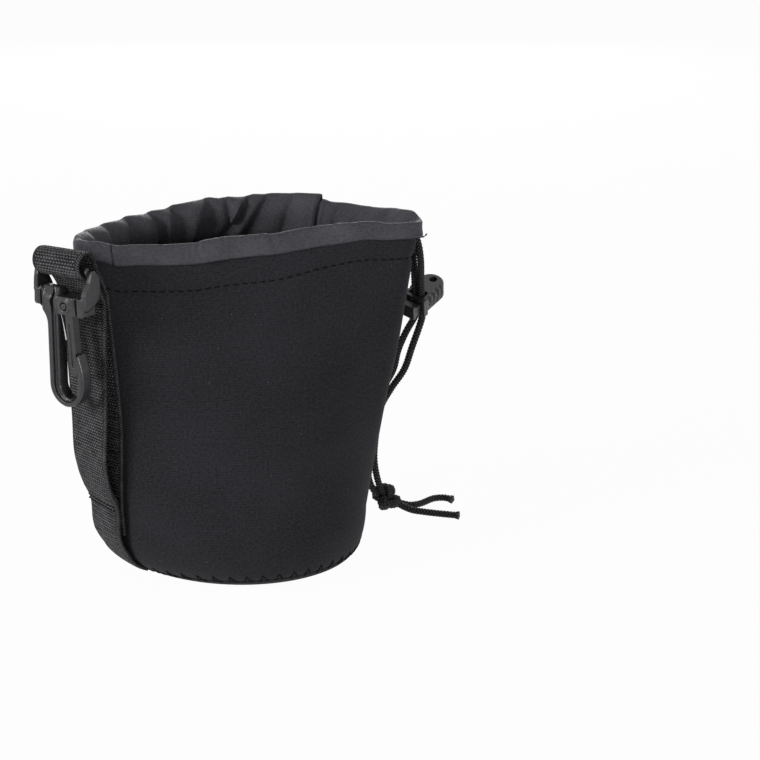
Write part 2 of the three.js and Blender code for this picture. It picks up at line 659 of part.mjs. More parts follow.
const cordRoom = CORD / 2 + GAP;
const boreWidth = STRAND_APART + CORD + 2 * GAP;
const plungerWidth = boreWidth + 2 * PLUNGER_SIDE;
const lockBreadth = plungerWidth + 2 * GAP + 2 * LOCK_SIDE;
const plungerBoreHalf = cordRoom + LOCK_TRAVEL / 2;
const plungerBoreX = -LOCK_TRAVEL / 2;
const plungerInner = plungerBoreX + plungerBoreHalf + PLUNGER_WEB;
const pocketEnd = plungerInner + LOCK_TRAVEL + SPRING_SOLID;
const lanyardX = pocketEnd + PLUNGER_WEB + LANYARD_RADIUS;
const lockEnd = lanyardX + LANYARD_RADIUS + 2 * PLUNGER_WEB;
const lockMouth = -cordRoom - GAP - 1.6 * PLUNGER_WEB;
const capInner = lockMouth - LOCK_TRAVEL - GAP;
const roundRadius = lockBreadth / 2;

const lockShape = new THREE.Shape();
lockShape.moveTo(lockMouth, -roundRadius);
lockShape.lineTo(lockEnd - roundRadius, -roundRadius);
lockShape.absarc(lockEnd - roundRadius, 0, roundRadius, -Math.PI / 2, Math.PI / 2, false);
lockShape.lineTo(lockMouth, roundRadius);
lockShape.closePath();

const pocketLength = pocketEnd - lockMouth + GAP;
const pocketX = pocketEnd - pocketLength / 2;
const pocket = block(pocketLength, plungerWidth + 2 * GAP, PLUNGER_HEIGHT + 2 * GAP, pocketX, 0, 0);
const lockBore = block(2 * cordRoom + 2 * GAP, boreWidth, 2 * LOCK_HEIGHT, 0, 0, 0);
const lanyardHole = rod(LANYARD_RADIUS, 2 * LOCK_HEIGHT, STUD_SIDES).rotateX(Math.PI / 2);
const lanyard = solid(lanyardHole.translate(lanyardX, 0, 0));
const collar = block(
  LOCK_COLLAR,
  lockBreadth + 2 * LOCK_COLLAR_PROUD,
  LOCK_HEIGHT + 2 * LOCK_COLLAR_PROUD,
  lockMouth + LOCK_COLLAR / 2,
  0,
  0,
);
let lockSolid = upright(lockShape, LOCK_HEIGHT, 0, EDGE_BEVEL).rotate([-90, 0, 0]).add(collar);
for (const cut of [pocket, lockBore, lanyard]) {
  lockSolid = lockSolid.subtract(cut);
}

// Three-cornered grip notches in both narrow sides.
const notchPitch = (lockEnd - roundRadius) / 3;
const notchLow = -LOCK_HEIGHT / 2 + LOCK_SIDE;
const notchShape = new THREE.Shape();
notchShape.moveTo(-notchPitch / 4, notchLow);
notchShape.lineTo(notchPitch / 3, notchLow);
notchShape.lineTo(-notchPitch / 4, LOCK_HEIGHT / 2 - 2 * LOCK_SIDE);
notchShape.closePath();
for (const index of [1, 2, 3]) {
  for (const face of [-1, 1]) {
    const notch = upright(notchShape, LOCK_SIDE, (face * lockBreadth) / 2, 0);
    lockSolid = lockSolid.subtract(notch.translate([index * notchPitch, 0, 0]));
  }
}
place("lock_body", shapeOf(lockSolid), plastic, lock);

// Plunger with its cord window and thumb cap.
const stemLength = plungerInner - capInner;
const stem = block(stemLength, plungerWidth, PLUNGER_HEIGHT, capInner + stemLength / 2, 0, 0);
const cap = block(CAP_THICK, plungerWidth, LOCK_HEIGHT - LOCK_SIDE, capInner - CAP_THICK / 2, 0, 0);
const plungerBore = block(2 * plungerBoreHalf, boreWidth, 2 * LOCK_HEIGHT, plungerBoreX, 0, 0);
place("lock_plunger", shapeOf(stem.add(cap).subtract(plungerBore)), plastic, lock);

// Coil spring behind the plunger.
class Coil extends THREE.Curve {
  getPoint(share, target = new THREE.Vector3()) {
    const angle = 2 * Math.PI * SPRING_TURNS * share;
    const from = plungerInner + GAP + SPRING_WIRE / 2;
    const to = pocketEnd - GAP - SPRING_WIRE / 2;
    return target.set(from + (to - from) * share, SPRING_COIL * Math.cos(angle), SPRING_COIL * Math.sin(angle));
  }
}

function round(radius, sides) {
  return new THREE.Shape(
    spread(0, 2 * Math.PI, sides)
      .slice(1)
      .map((angle) => new THREE.Vector2(radius * Math.cos(angle), radius * Math.sin(angle))),
  );
}

function tube(curve, radius, sides, steps) {
  return new THREE.ExtrudeGeometry(round(radius, sides), { steps, extrudePath: curve, bevelEnabled: false });
}

place("lock_spring", tube(new Coil(), SPRING_WIRE / 2, COIL_SIDES, COIL_STEPS * SPRING_TURNS), steel, lock);

// Free strands of the drawcord: out under the hem's band, through the lock, down behind the pouch to the knot.
function strandStart(side) {
  const wayOut = [[HEM_CORD_END - 3 * GAP, 0, -NEOPRENE / 2], ...STRAND_WAY_OUT];
  return wayOut.map(([away, up, out]) => {
    const share = exitShare + (side * away) / perimeter;
    return onWall(share, hemCordHeight(share) + up, out);
  });
}

function inLock(side, down) {
  const point = lockCentre.clone().addScaledVector(lockAcross, (side * STRAND_APART) / 2);
  return point.addScaledVector(lockUp, -down);
}

function throughLock(side) {
  const downs = [-STRAIGHT_ABOVE_LOCK, 0, STRAIGHT_BELOW_LOCK];
  return [...strandStart(side), ...downs.map((down) => inLock(side, down))];
}

// Points below the lock, chosen by eye: plan distance from the lock and share of the lock's height.
function hanging(x, y, share) {
  return new THREE.Vector3(lockCentre.x + x, lockCentre.y + y, lockCentre.z * share);
}

const frontStrand = [
  ...throughLock(-1),
  hanging(0.9, 5.6, 0.783),
  hanging(0.4, 9.1, 0.686),
  hanging(-2, 14, 0.588),
  hanging(-2.9, 18, 0.489),
  hanging(-2.6, 22.6, 0.349),
  hanging(-1.6, 26.1, 0.23),
  hanging(2.2, 27.8, 0.112),
];
const backStrand = [
  ...throughLock(1),
  hanging(-1.6, 6.1, 0.845),
  hanging(-3.2, 8.3, 0.771),
  hanging(-3.2, 11.3, 0.687),
  hanging(-5.2, 17.4, 0.563),
  hanging(-5.4, 23.3, 0.398),
  hanging(-2.4, 29.5, 0.159),
  hanging(0.3, 29.6, 0.096),
];

// Knot: a lumpy ball that the strands enter and the tails leave.
const knotCentre = new THREE.Vector3(lockCentre.x + KNOT_FROM_LOCK_X, lockCentre.y + KNOT_FROM_LOCK_Y, 0);
knotCentre.z = KNOT_RADII.z + GAP;
const knotBall = new THREE.SphereGeometry(1, KNOT_SIDES, KNOT_RINGS);
const knotPoints = knotBall.attributes.position;
for (let index = 0; index < knotPoints.count; index++) {
  const point = new THREE.Vector3().fromBufferAttribute(knotPoints, index);
  const lump = 1 - KNOT_LUMP * Math.cos(3 * Math.atan2(point.y, point.x)) * (1 - point.z ** 2);
  point.multiplyScalar(lump).multiply(KNOT_RADII);
  knotPoints.setXYZ(index, point.x, point.y, point.z);
}
const knot = place("drawcord_knot", shapeOf(solid(knotBall)), cordage);
knot.position.copy(knotCentre);

// Tails, chosen by eye: plan distance from the knot and height above the floor's own.
function lying(x, y, lift = 0) {
  return new THREE.Vector3(knotCentre.x + x, knotCentre.y + y, TAIL_HEIGHT + lift);
}

const upperTail = [
  lying(4.5, -0.8, 1.5),
  lying(8.2, -2.5, 0.3),
  lying(12.5, -2.5),
  lying(20.5, -0.2),
  lying(24, -1.7),
  lying(25.3, -5.2),
];
const lowerTail = [
  lying(3.1, -3.6, 1.7),
  lying(5.6, -7.2, 0.3),
  lying(8.8, -11.1),
  lying(13, -16.3),
  lying(17.3, -21.7),
];
const smooth = (points) => new THREE.CatmullRomCurve3(points, false, "centripetal");
place("drawcord_front", tube(smooth(frontStrand), CORD / 2, CORD_SIDES, STRAND_STEPS), cordage);
place("drawcord_back", tube(smooth(backStrand), CORD / 2, CORD_SIDES, STRAND_STEPS), cordage);
place("tail_upper", tube(smooth(upperTail), CORD / 2, CORD_SIDES, TAIL_STEPS), cordage);
place("tail_lower", tube(smooth(lowerTail), CORD / 2, CORD_SIDES, TAIL_STEPS), cordage);

export default pouch;
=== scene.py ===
import math

import bpy
import numpy as np
from mathutils import Matrix, Vector


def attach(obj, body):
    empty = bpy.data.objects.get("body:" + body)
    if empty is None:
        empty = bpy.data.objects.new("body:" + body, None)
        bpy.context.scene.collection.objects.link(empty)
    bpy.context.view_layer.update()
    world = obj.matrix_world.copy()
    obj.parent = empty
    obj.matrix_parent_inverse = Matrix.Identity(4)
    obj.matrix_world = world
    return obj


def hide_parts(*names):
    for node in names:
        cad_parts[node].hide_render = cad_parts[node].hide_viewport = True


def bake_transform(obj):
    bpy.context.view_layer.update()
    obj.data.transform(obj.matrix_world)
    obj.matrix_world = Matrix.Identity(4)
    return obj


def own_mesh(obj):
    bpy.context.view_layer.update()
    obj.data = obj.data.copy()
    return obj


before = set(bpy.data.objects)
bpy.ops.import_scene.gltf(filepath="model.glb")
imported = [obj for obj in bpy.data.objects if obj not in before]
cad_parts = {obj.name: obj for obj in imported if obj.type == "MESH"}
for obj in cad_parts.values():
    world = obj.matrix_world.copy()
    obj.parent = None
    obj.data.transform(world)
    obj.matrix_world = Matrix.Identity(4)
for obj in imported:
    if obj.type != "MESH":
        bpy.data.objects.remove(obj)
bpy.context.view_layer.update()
bpy.ops.object.select_all(action="DESELECT")

# Studio: a white table in a white room, with soft lamps on the strap's side, in front and behind, and a large
# weak one overhead. The camera looks a little downward from 0.8 m with a long lens.
VIEW_AZIMUTH, VIEW_ELEVATION = math.radians(-32), math.radians(16)
VIEW_DISTANCE, VIEW_RIGHT, VIEW_UP = 0.8165, 0.0456, 0.06035
LENS = 108
TABLE_SIZE, TABLE_GAP = 8, 0.0001
TABLE_WHITE, TABLE_ROUGHNESS, TABLE_GLOW = (0.9, 0.9, 0.9, 1), 0.9, 0.97
ROOM_LIGHT = 0.08
TARGET = Vector((0, 0, 0.06))
LAMPS = [
    ("strap_side_lamp", (-1.22, -0.05, 0.5), 0.4, 9.5),
    ("front_lamp", (0.18, -1.25, 0.2), 0.45, 6.6),
    ("top_lamp", (-0.2, 0.1, 1.3), 0.8, 1.0),
    ("back_lamp", (0.7, 1.1, 0.35), 0.5, 4.5),
]
level = math.cos(VIEW_ELEVATION)
view_right = Vector((math.cos(VIEW_AZIMUTH), math.sin(VIEW_AZIMUTH), 0))
view_forward = Vector(
    (-math.sin(VIEW_AZIMUTH) * level, math.cos(VIEW_AZIMUTH) * level, -math.sin(VIEW_ELEVATION))
)
view_up = view_right.cross(view_forward)
bpy.ops.object.camera_add(
    location=VIEW_RIGHT * view_right + VIEW_UP * view_up - VIEW_DISTANCE * view_forward,
    rotation=Matrix((view_right, view_up, -view_forward)).transposed().to_euler(),
)
camera = bpy.context.object
camera.data.lens = LENS
bpy.context.scene.camera = camera
bpy.context.scene.view_settings.view_transform = "Standard"


class Shade:
    """A value in a material's node tree. Arithmetic on it adds Math nodes to that tree."""

    def __init__(self, tree, output=None):
        self.tree, self.output = tree, output

    def node(self, kind, settings, values, output=0):
        made = self.tree.nodes.new(kind)
        for name, value in settings.items():
            if name == "stops":
                ramp = made.color_ramp.elements
                while len(ramp) < len(value):
                    ramp.new(1)
                for stop, (place, colour) in zip(ramp, value):
                    stop.position, stop.color = place, (*colour, 1)
            else:
                setattr(made, name, value)
        for name, value in values.items():
            if isinstance(value, Shade):
                self.tree.links.new(value.output, made.inputs[name])
            else:
                made.inputs[name].default_value = value
        return Shade(self.tree, made.outputs[output])

    def maths(self, operation, *values):
        return self.node("ShaderNodeMath", {"operation": operation}, dict(enumerate(values)))

    def noise(self, vector, scale, detail, dimensions="3D"):
        values = {"Vector": vector, "Scale": scale, "Detail": detail}
        return self.node("ShaderNodeTexNoise", {"noise_dimensions": dimensions}, values, "Fac")

    def ramp(self, stops, place):
        return self.node("ShaderNodeValToRGB", {"stops": stops}, {"Fac": place})

    def bump(self, strength, distance, height):
        values = {"Strength": strength, "Distance": distance, "Height": height}
        return self.node("ShaderNodeBump", {}, values)

    def place(self):
        return self.node("ShaderNodeTexCoord", {}, {}, "Object")

    def flat_pattern(self):
        """The flat pattern as one vector, and its two directions."""
        flat = self.node("ShaderNodeTexCoord", {}, {}, "UV")
        return flat, *(self.node("ShaderNodeSeparateXYZ", {}, {0: flat}, axis) for axis in (0, 1))

    def send(self, **values):
        """Leads values to the material's main shader."""
        shader = self.tree.nodes["Principled BSDF"]
        for socket, value in values.items():
            self.tree.links.new(value.output, shader.inputs[socket.replace("_", " ")])

    def seen_straight_or_mirrored(self):
        paths = [
            self.node("ShaderNodeLightPath", {}, {}, name)
            for name in ("Is Camera Ray", "Is Glossy Ray", "Is Transmission Ray")
        ]
        return self.maths("MAXIMUM", paths[0], self.maths("MAXIMUM", paths[1], paths[2]))

    def __add__(self, other):
        return self.maths("ADD", self, other)

    def __radd__(self, other):
        return self.maths("ADD", other, self)

    def __sub__(self, other):
        return self.maths("SUBTRACT", self, other)

    def __rsub__(self, other):
        return self.maths("SUBTRACT", other, self)

    def __mul__(self, other):
        return self.maths("MULTIPLY", self, other)

    def __rmul__(self, other):
        return self.maths("MULTIPLY", other, self)

    def __truediv__(self, other):
        return self.maths("DIVIDE", self, other)


bpy.ops.mesh.primitive_plane_add(size=TABLE_SIZE, location=(0, 0, -TABLE_GAP))
table_top = bpy.context.object
table_top.name = "table_top"
bpy.ops.object.transform_apply(location=True)


def new_material(name, **constants):
    """A material and a start for its nodes, with its main shader's constant values set."""
    material = bpy.data.materials.new(name)
    material.use_nodes = True
    shader = material.node_tree.nodes["Principled BSDF"]
    for socket, value in constants.items():
        shader.inputs[socket.replace("_", " ")].default_value = value
    return material, Shade(material.node_tree)


white_top, start = new_material("white_table", Base_Color=TABLE_WHITE, Roughness=TABLE_ROUGHNESS)
paint = Shade(start.tree, start.tree.nodes["Principled BSDF"].outputs[0])
glow = start.node("ShaderNodeEmission", {}, {"Strength": 1.0})
seen = start.seen_straight_or_mirrored() * TABLE_GLOW
surface = start.node("ShaderNodeMixShader", {}, {0: seen, 1: paint, 2: glow})
start.tree.links.new(surface.output, start.tree.nodes["Material Output"].inputs[0])
table_top.data.materials.append(white_top)

room = bpy.data.worlds.new("white_room")
bpy.context.scene.world = room
room.use_nodes = True
backdrop = room.node_tree.nodes["Background"]
backdrop.inputs["Color"].default_value = (1, 1, 1, 1)
strength = ROOM_LIGHT + (1 - ROOM_LIGHT) * Shade(room.node_tree).seen_straight_or_mirrored()
room.node_tree.links.new(strength.output, backdrop.inputs["Strength"])

for lamp_name, reach, size, watts in LAMPS:
    aim = (TARGET - Vector(reach)).to_track_quat("-Z", "Y").to_euler()
    bpy.ops.object.light_add(type="AREA", location=reach, rotation=aim)
    lamp = bpy.context.object
    lamp.name = lamp_name
    lamp.data.size = size
    lamp.data.energy = watts

# Cord lock: a flat nylon moulding with a rounded end and a lanyard hole, and a plunger pushed in from the
# other end against a coil spring. It is threaded on both strands of the drawcord before they are knotted.
MM = 0.001
NODE_WELD = 2e-6
LOCK_GRAIN, LOCK_ROUNDS = 0.00016, 4
LANYARD_ALONG = 8.65
LOCK_PLACE = np.array((57.03, -20.32, 88.80))
LOCK_AXES = np.array(
    ((0.88434, 0.25420, 0.39156), (-0.37383, 0.88800, 0.26780), (-0.27963, -0.38320, 0.88032))
)
NOTCHES, NOTCH_DEPTH = (0.7, 3.0, 5.3, 7.5), 1.36
POCKET_HALF, SIDE_WALL = 3.25, 1.55
PLUNGER_HALF, PLUNGER_MOUTH = 2.7, -2.9


def weld(threshold, fill=False):
    """Joins points of the active piece that meet, and closes its ends."""
    bpy.ops.object.mode_set(mode="EDIT")
    bpy.ops.mesh.select_all(action="SELECT")
    bpy.ops.mesh.remove_doubles(threshold=threshold)
    if fill:
        bpy.ops.mesh.fill_holes(sides=0)
        bpy.ops.mesh.select_all(action="SELECT")
        bpy.ops.mesh.normals_make_consistent(inside=False)
    bpy.ops.object.mode_set(mode="OBJECT")
    bpy.ops.object.shade_smooth()


def merged_copy(node, name):
    """A new piece of a node's shape, with its loose triangles joined."""
    piece = bpy.data.objects.new(name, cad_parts[node].data.copy())
    bpy.context.scene.collection.objects.link(piece)
    bpy.ops.object.select_all(action="DESELECT")
    piece.select_set(True)
    bpy.context.view_layer.objects.active = piece
    weld(NODE_WELD)
    bpy.ops.object.shade_smooth_by_angle(angle=0.6)
    return piece


def eased_copy(node, name, grain, rounds):
    """A new piece of a node's shape, with its edges rounded as a mould leaves them."""
    piece = merged_copy(node, name)
    finish(piece, "REMESH", mode="VOXEL", voxel_size=grain)
    finish(piece, "SMOOTH", factor=0.5, iterations=rounds)
    bpy.ops.object.shade_smooth()
    return piece


def finish(piece, kind, **settings):
    """Adds a modifier to a piece and applies it."""
    step = piece.modifiers.new(kind, kind)
    for name, value in settings.items():
        setattr(step, name, value)
    bpy.context.view_layer.objects.active = piece
    bpy.ops.object.modifier_apply(modifier=step.name)


def dress(piece, material):
    """Gives a piece its one material, in its one slot."""
    piece.data.materials.clear()
    piece.data.materials.append(material)


SATIN_TONES = [(0.0, (0.002, 0.002, 0.0024)), (0.3, (0.019, 0.019, 0.0214)), (0.7, (0.030, 0.030, 0.0334))]
satin_black, start = new_material("satin_black_plastic", IOR=1.5, Specular_IOR_Level=0.5)
spark, cloud = start.noise(start.place(), 5200, 2), start.noise(start.place(), 240, 3)
# Inside the lock's notches the base colour is darkened by their marked depth: painted shade.
recess = start.node("ShaderNodeAttribute", {"attribute_name": "recess"}, {}, "Fac")
start.send(
    Base_Color=start.ramp(SATIN_TONES, cloud * (1 - recess)),
    Roughness=0.2 + cloud * 0.16,
    Normal=start.bump(0.25, 0.00006, spark + cloud * 0.6),
)


def own_places(piece, centre, axes):
    """A piece's points in the moulding's own directions, in millimetres."""
    points = np.empty(3 * len(piece.data.vertices))
    piece.data.vertices.foreach_get("co", points)
    return ((points.reshape(-1, 3) / MM - centre) @ axes.T).T


def reshape(piece, centre, axes, form):
    """Moves a piece's points by a rule that is given in the moulding's own directions, in millimetres."""
    points = centre + np.stack(form(*own_places(piece, centre, axes)), axis=1) @ axes
    piece.data.vertices.foreach_set("co", (points * MM).reshape(-1))
    piece.data.update()


def eased(value):
    """A soft step from 0 to 1."""
    value = np.clip(value, 0, 1)
    return value * value * (3 - 2 * value)


def bell(value):
    """A soft rise, 1 at its middle."""
    return np.exp(-(value**2))


def notch_depth(along, up):
    """Depth of the grip notches, which slope in from the plunger's side and stop short of the lower edge."""
    depth = sum(np.clip((along - at + 0.8) / 1.3, 0, 1) * (along < at + 0.62) for at in NOTCHES)
    return NOTCH_DEPTH * depth * (1 - np.clip((up + 0.2) / -1.2, 0, 1))


def notched(along, across, up):
    """Deepens the notches in both narrow sides down to the plunger's pocket, and widens the lanyard hole."""
    reach = np.abs(across)
    left = (SIDE_WALL - notch_depth(along, up)) / SIDE_WALL
    side = np.where(reach > POCKET_HALF, POCKET_HALF + (reach - POCKET_HALF) * left, reach)
    away = np.hypot(along - LANYARD_ALONG, across)
    wider = 0.3 * (1 - eased((away - 1.1) / 1.0)) / np.maximum(away, 0.5)
    return along + (along - LANYARD_ALONG) * wider, np.sign(across) * side + across * wider, up


def mark_painted_notch_shade(piece):
    """Marks how deep in the notches each point lies, for the painted shade inside them."""
    along, across, up = own_places(piece, LOCK_PLACE, LOCK_AXES)
    inside = notch_depth(along, up) / NOTCH_DEPTH * (np.abs(across) > POCKET_HALF + 0.05)
    marks = piece.data.attributes.new("recess", "FLOAT", "POINT")
    marks.data.foreach_set("value", inside.astype(np.float32))


def slimmed(along, across, up):
    """Slims the part of the plunger that runs between the notches."""
    reach = np.abs(across)
    slim = np.where(reach > PLUNGER_HALF, PLUNGER_HALF + (reach - PLUNGER_HALF) * 0.4, reach)
    inside = np.clip((along - PLUNGER_MOUTH) / 0.5, 0, 1)
    return along, np.sign(across) * (reach + inside * (slim - reach)), up


lock_body = eased_copy("lock_body", "cord_lock_body", LOCK_GRAIN, LOCK_ROUNDS)
reshape(lock_body, LOCK_PLACE, LOCK_AXES, notched)
mark_painted_notch_shade(lock_body)
dress(lock_body, satin_black)
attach(lock_body, "cord_lock")
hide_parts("lock_body")
lock_plunger = eased_copy("lock_plunger", "cord_lock_plunger", LOCK_GRAIN, LOCK_ROUNDS)
reshape(lock_plunger, LOCK_PLACE, LOCK_AXES, slimmed)
dress(lock_plunger, satin_black)
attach(lock_plunger, "plunger")
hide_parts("lock_plunger")

STEEL_TONES = [(0.3, (0.5, 0.5, 0.51)), (0.7, (0.66, 0.66, 0.67))]
spring_steel, start = new_material("spring_steel", Metallic=1.0)
drawn = start.noise(start.place(), 3000, 3)
start.send(Base_Color=start.ramp(STEEL_TONES, drawn), Roughness=0.22 + drawn * 0.2)
lock_coil = merged_copy("lock_spring", "cord_lock_coil")
dress(lock_coil, spring_steel)
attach(lock_coil, "cord_lock")
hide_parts("lock_spring")
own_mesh(lock_coil)

# Drawcord: a fine black braid of two strands. They leave the hem under its band at the right tip, run through
# the cord lock and hang behind the pouch to a knot, and their cut tails lie on the table.
CORD_RADIUS = 1.3
BRAID_PITCH, BRAID_LOBES = 1.25, 5
LOBE_SINK, LOBE_RISE = 0.14, 0.2
CORD_STEP, CUT_FLARE = 0.2, 0.35
SHEET_WELD = 1e-6
FRONT_ROUTE = [
    (47.0, -29.9, 115.4), (48.75, -29.2, 114.9), (50.2, -29.1, 113.4), (51.0, -29.4, 111.1),
    (51.7, -29.7, 106.11), (55.03, -25.01, 96.35), (57.55, -21.56, 88.43),
    (58.67, -20.03, 84.91), (59.23, -19.27, 83.15), (59.79, -18.50, 81.39),
    (57.93, -14.72, 69.53), (57.2, -11.0, 60.92), (55.3, -4.9, 52.22), (55.0, 1.6, 43.42),
    (55.3, 5.6, 30.99), (55.9, 7.2, 20.42), (58.9, 7.7, 9.95),
    (61.6, 8.0, 6.9), (63.9, 6.4, 4.6), (65.53, 4.48, 3.20),
    (68.03, 0.88, 1.90), (71.23, -3.02, 1.60), (75.43, -8.22, 1.60), (79.73, -13.62, 1.75),
]
BACK_ROUTE = [
    (48.7, -23.4, 115.2), (49.6, -25.2, 114.9), (50.75, -26.1, 113.4), (51.1, -26.0, 111.1),
    (51.48, -25.56, 106.14), (53.99, -22.53, 97.10), (56.50, -19.08, 89.18),
    (57.62, -17.54, 85.66), (58.18, -16.78, 83.90), (58.74, -16.01, 82.14),
    (55.43, -14.22, 75.04), (53.83, -12.02, 68.47), (53.83, -9.02, 61.01), (51.83, -2.92, 50.00),
    (51.63, 2.98, 35.34), (54.63, 9.18, 14.12), (57.33, 9.28, 8.53),
    (60.4, 9.4, 6.2), (63.6, 8.8, 4.4), (66.93, 7.28, 3.00),
    (70.63, 5.58, 1.90), (74.93, 5.58, 1.60), (82.93, 7.88, 1.60), (86.43, 6.38, 1.65), (87.73, 2.88, 1.75),
]


def marks_along(line):
    """The way along a line to each of its points."""
    return np.concatenate(([0], np.cumsum(np.linalg.norm(np.diff(line, axis=0), axis=1))))


def between(here, there, leave, arrive, t):
    """Points of a smooth curve from one place to the next, which it leaves and reaches in given directions."""
    return (
        here * (2 * t**3 - 3 * t**2 + 1) + leave * (t**3 - 2 * t**2 + t)
        + there * (3 * t**2 - 2 * t**3) + arrive * (t**3 - t**2)
    )


def through(points, spacing):
    """Evenly spaced points on a smooth curve through points."""
    points = np.array(points, float)
    ends = np.concatenate(([2 * points[0] - points[1]], points, [2 * points[-1] - points[-2]]))
    fine = []
    for before, here, there, after in zip(ends, ends[1:], ends[2:], ends[3:]):
        gaps = [np.linalg.norm(b - a) ** 0.5 for a, b in ((before, here), (here, there), (there, after))]
        leave = (here - before) / gaps[0] - (there - before) / (gaps[0] + gaps[1]) + (there - here) / gaps[1]
        arrive = (there - here) / gaps[1] - (after - here) / (gaps[1] + gaps[2]) + (after - there) / gaps[2]
        t = np.linspace(0, 1, 60, endpoint=False)[:, None]
        fine.append(between(here, there, leave * gaps[1], arrive * gaps[1], t))
    fine = np.concatenate([*fine, points[-1:]])
    along = marks_along(fine)
    marks = np.linspace(0, along[-1], int(round(along[-1] / spacing)) + 1)
    return np.stack([np.interp(marks, along, fine[:, axis]) for axis in range(3)], axis=1), marks


def carried_frames(line, closed=False):
    """Two directions square to a line at each of its points, carried along it without twist."""
    ahead = np.gradient(line, axis=0)
    if closed:
        ahead = np.roll(line, -1, axis=0) - np.roll(line, 1, axis=0)
    ahead /= np.linalg.norm(ahead, axis=1)[:, None]
    side = np.cross(ahead[0], (0.31, 0.52, 0.79))
    sides = []
    for direction in ahead:
        side = side - direction * side.dot(direction)
        side = side / np.linalg.norm(side)
        sides.append(side)
    sides = np.array(sides)
    return sides, np.cross(ahead, sides)


def pattern(across, along):
    """A flat pattern, from the places across it and the way along it."""
    return np.stack(np.broadcast_arrays(across, along[:, None]), axis=2)


def loft(name, rows, flat):
    """A sheet through rows of points, with its flat pattern as its UV map, both in millimetres."""
    count, across = rows.shape[:2]
    bpy.ops.mesh.primitive_grid_add(x_subdivisions=across - 1, y_subdivisions=count - 1, size=1)
    piece = bpy.context.object
    piece.name = piece.data.name = name
    piece.data.vertices.foreach_set("co", (rows * MM).reshape(-1))
    corners = np.empty(len(piece.data.loops), dtype=np.int32)
    piece.data.loops.foreach_get("vertex_index", corners)
    piece.data.uv_layers.active.data.foreach_set("uv", (flat.reshape(-1, 2) * MM)[corners].reshape(-1))
    piece.data.update()
    return piece


def braid(name, line, marks, radius, sides=24, closed=False, flare=0.0):
    """A braided tube along a line: staggered lobes round it, one row per pitch."""
    first, second = carried_frames(line, closed)
    turn = np.linspace(0, math.tau, sides + 1)
    lobes = np.cos(BRAID_LOBES * turn)[None, :] * np.cos(math.tau * marks / BRAID_PITCH)[:, None]
    size = radius - LOBE_SINK + LOBE_RISE * np.sign(lobes) * np.abs(lobes) ** 0.8
    size = size + (flare * bell((marks[-1] - marks) / 0.9))[:, None]
    if closed:
        line = np.concatenate((line, line[:1]))
        first, second = np.concatenate((first, first[:1])), np.concatenate((second, second[:1]))
        size = np.concatenate((size, size[:1]))
        marks = np.append(marks, marks[-1] + marks[1])
    spokes = np.cos(turn)[None, :, None] * first[:, None] + np.sin(turn)[None, :, None] * second[:, None]
    rows = line[:, None] + size[..., None] * spokes
    piece = loft(name, rows, pattern(turn * radius, marks))
    weld(SHEET_WELD, fill=not closed)
    return piece


YARN = 0.0003
BRAID_TONES = [(0.34, (0.001, 0.001, 0.0012)), (0.62, (0.007, 0.007, 0.0077)), (0.92, (0.15, 0.15, 0.155))]
black_braid, start = new_material(
    "black_braid", Specular_IOR_Level=0.2, Sheen_Weight=0.02, Sheen_Roughness=0.4
)
flat, across, along = start.flat_pattern()
lobe = start.maths("COSINE", across * (BRAID_LOBES / (CORD_RADIUS * MM))) * start.maths(
    "COSINE", along * (math.tau / (BRAID_PITCH * MM))
)
yarn = start.maths("SINE", (across + along * 0.8) * (math.tau / YARN))
fibre = start.noise(flat, 2600, 3)
# The colour follows the lobes: crests painted lighter and the hollows between them darker, as painted highlight and
# painted shade.
start.send(
    Base_Color=start.ramp(BRAID_TONES, lobe * 0.42 + fibre * 0.5 + (yarn * 0.08 + 0.18)),
    Roughness=0.38 + fibre * 0.3,
    Normal=start.bump(0.8, 0.00015, lobe * 0.6 + yarn * 0.25 + fibre * 0.6),
)

KNOT_CENTRE, KNOT_RADIUS = np.array((61.9, 8.4, 5.6)), 1.5
KNOT_WINDINGS = [(1.55, 2.0, 0.0), (1.2, 3.0, 1.0)]
KNOT_TILT = Matrix.Rotation(math.radians(62), 3, Vector((0.3, 0.95, 0.1)))
knot_turn = np.linspace(0, math.tau, 220, endpoint=False)
knot_pieces = []
for number, (wide, deep, start_turn) in enumerate(KNOT_WINDINGS):
    angle = knot_turn + start_turn
    winding = np.stack(
        [
            wide * (np.sin(angle) + 2 * np.sin(2 * angle)),
            wide * (np.cos(angle) - 2 * np.cos(2 * angle)),
            -deep * np.sin(3 * angle),
        ],
        axis=1,
    )
    ring = KNOT_CENTRE + winding @ np.array(KNOT_TILT).T
    knot_pieces.append(
        braid(f"knot_turns_{number + 1}", ring, marks_along(ring), KNOT_RADIUS, 20, closed=True)
    )
bpy.ops.object.select_all(action="DESELECT")
for piece in knot_pieces:
    piece.select_set(True)
bpy.context.view_layer.objects.active = knot_pieces[0]
bpy.ops.object.join()
knot = knot_pieces[0]
knot.name = knot.data.name = "drawcord_knot_turns"
dress(knot, black_braid)
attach(knot, "pouch")
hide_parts("drawcord_knot")

for name, route, nodes, extras in [
    ("front_strand", FRONT_ROUTE, ("drawcord_front", "tail_lower"), [lock_body, lock_plunger, lock_coil]),
    ("back_strand", BACK_ROUTE, ("drawcord_back", "tail_upper"), [knot]),
]:
    line, marks = through(route, CORD_STEP)
    strand = braid(name, line, marks, CORD_RADIUS, flare=CUT_FLARE)
    dress(strand, black_braid)
    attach(strand, "pouch")
    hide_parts(*nodes)

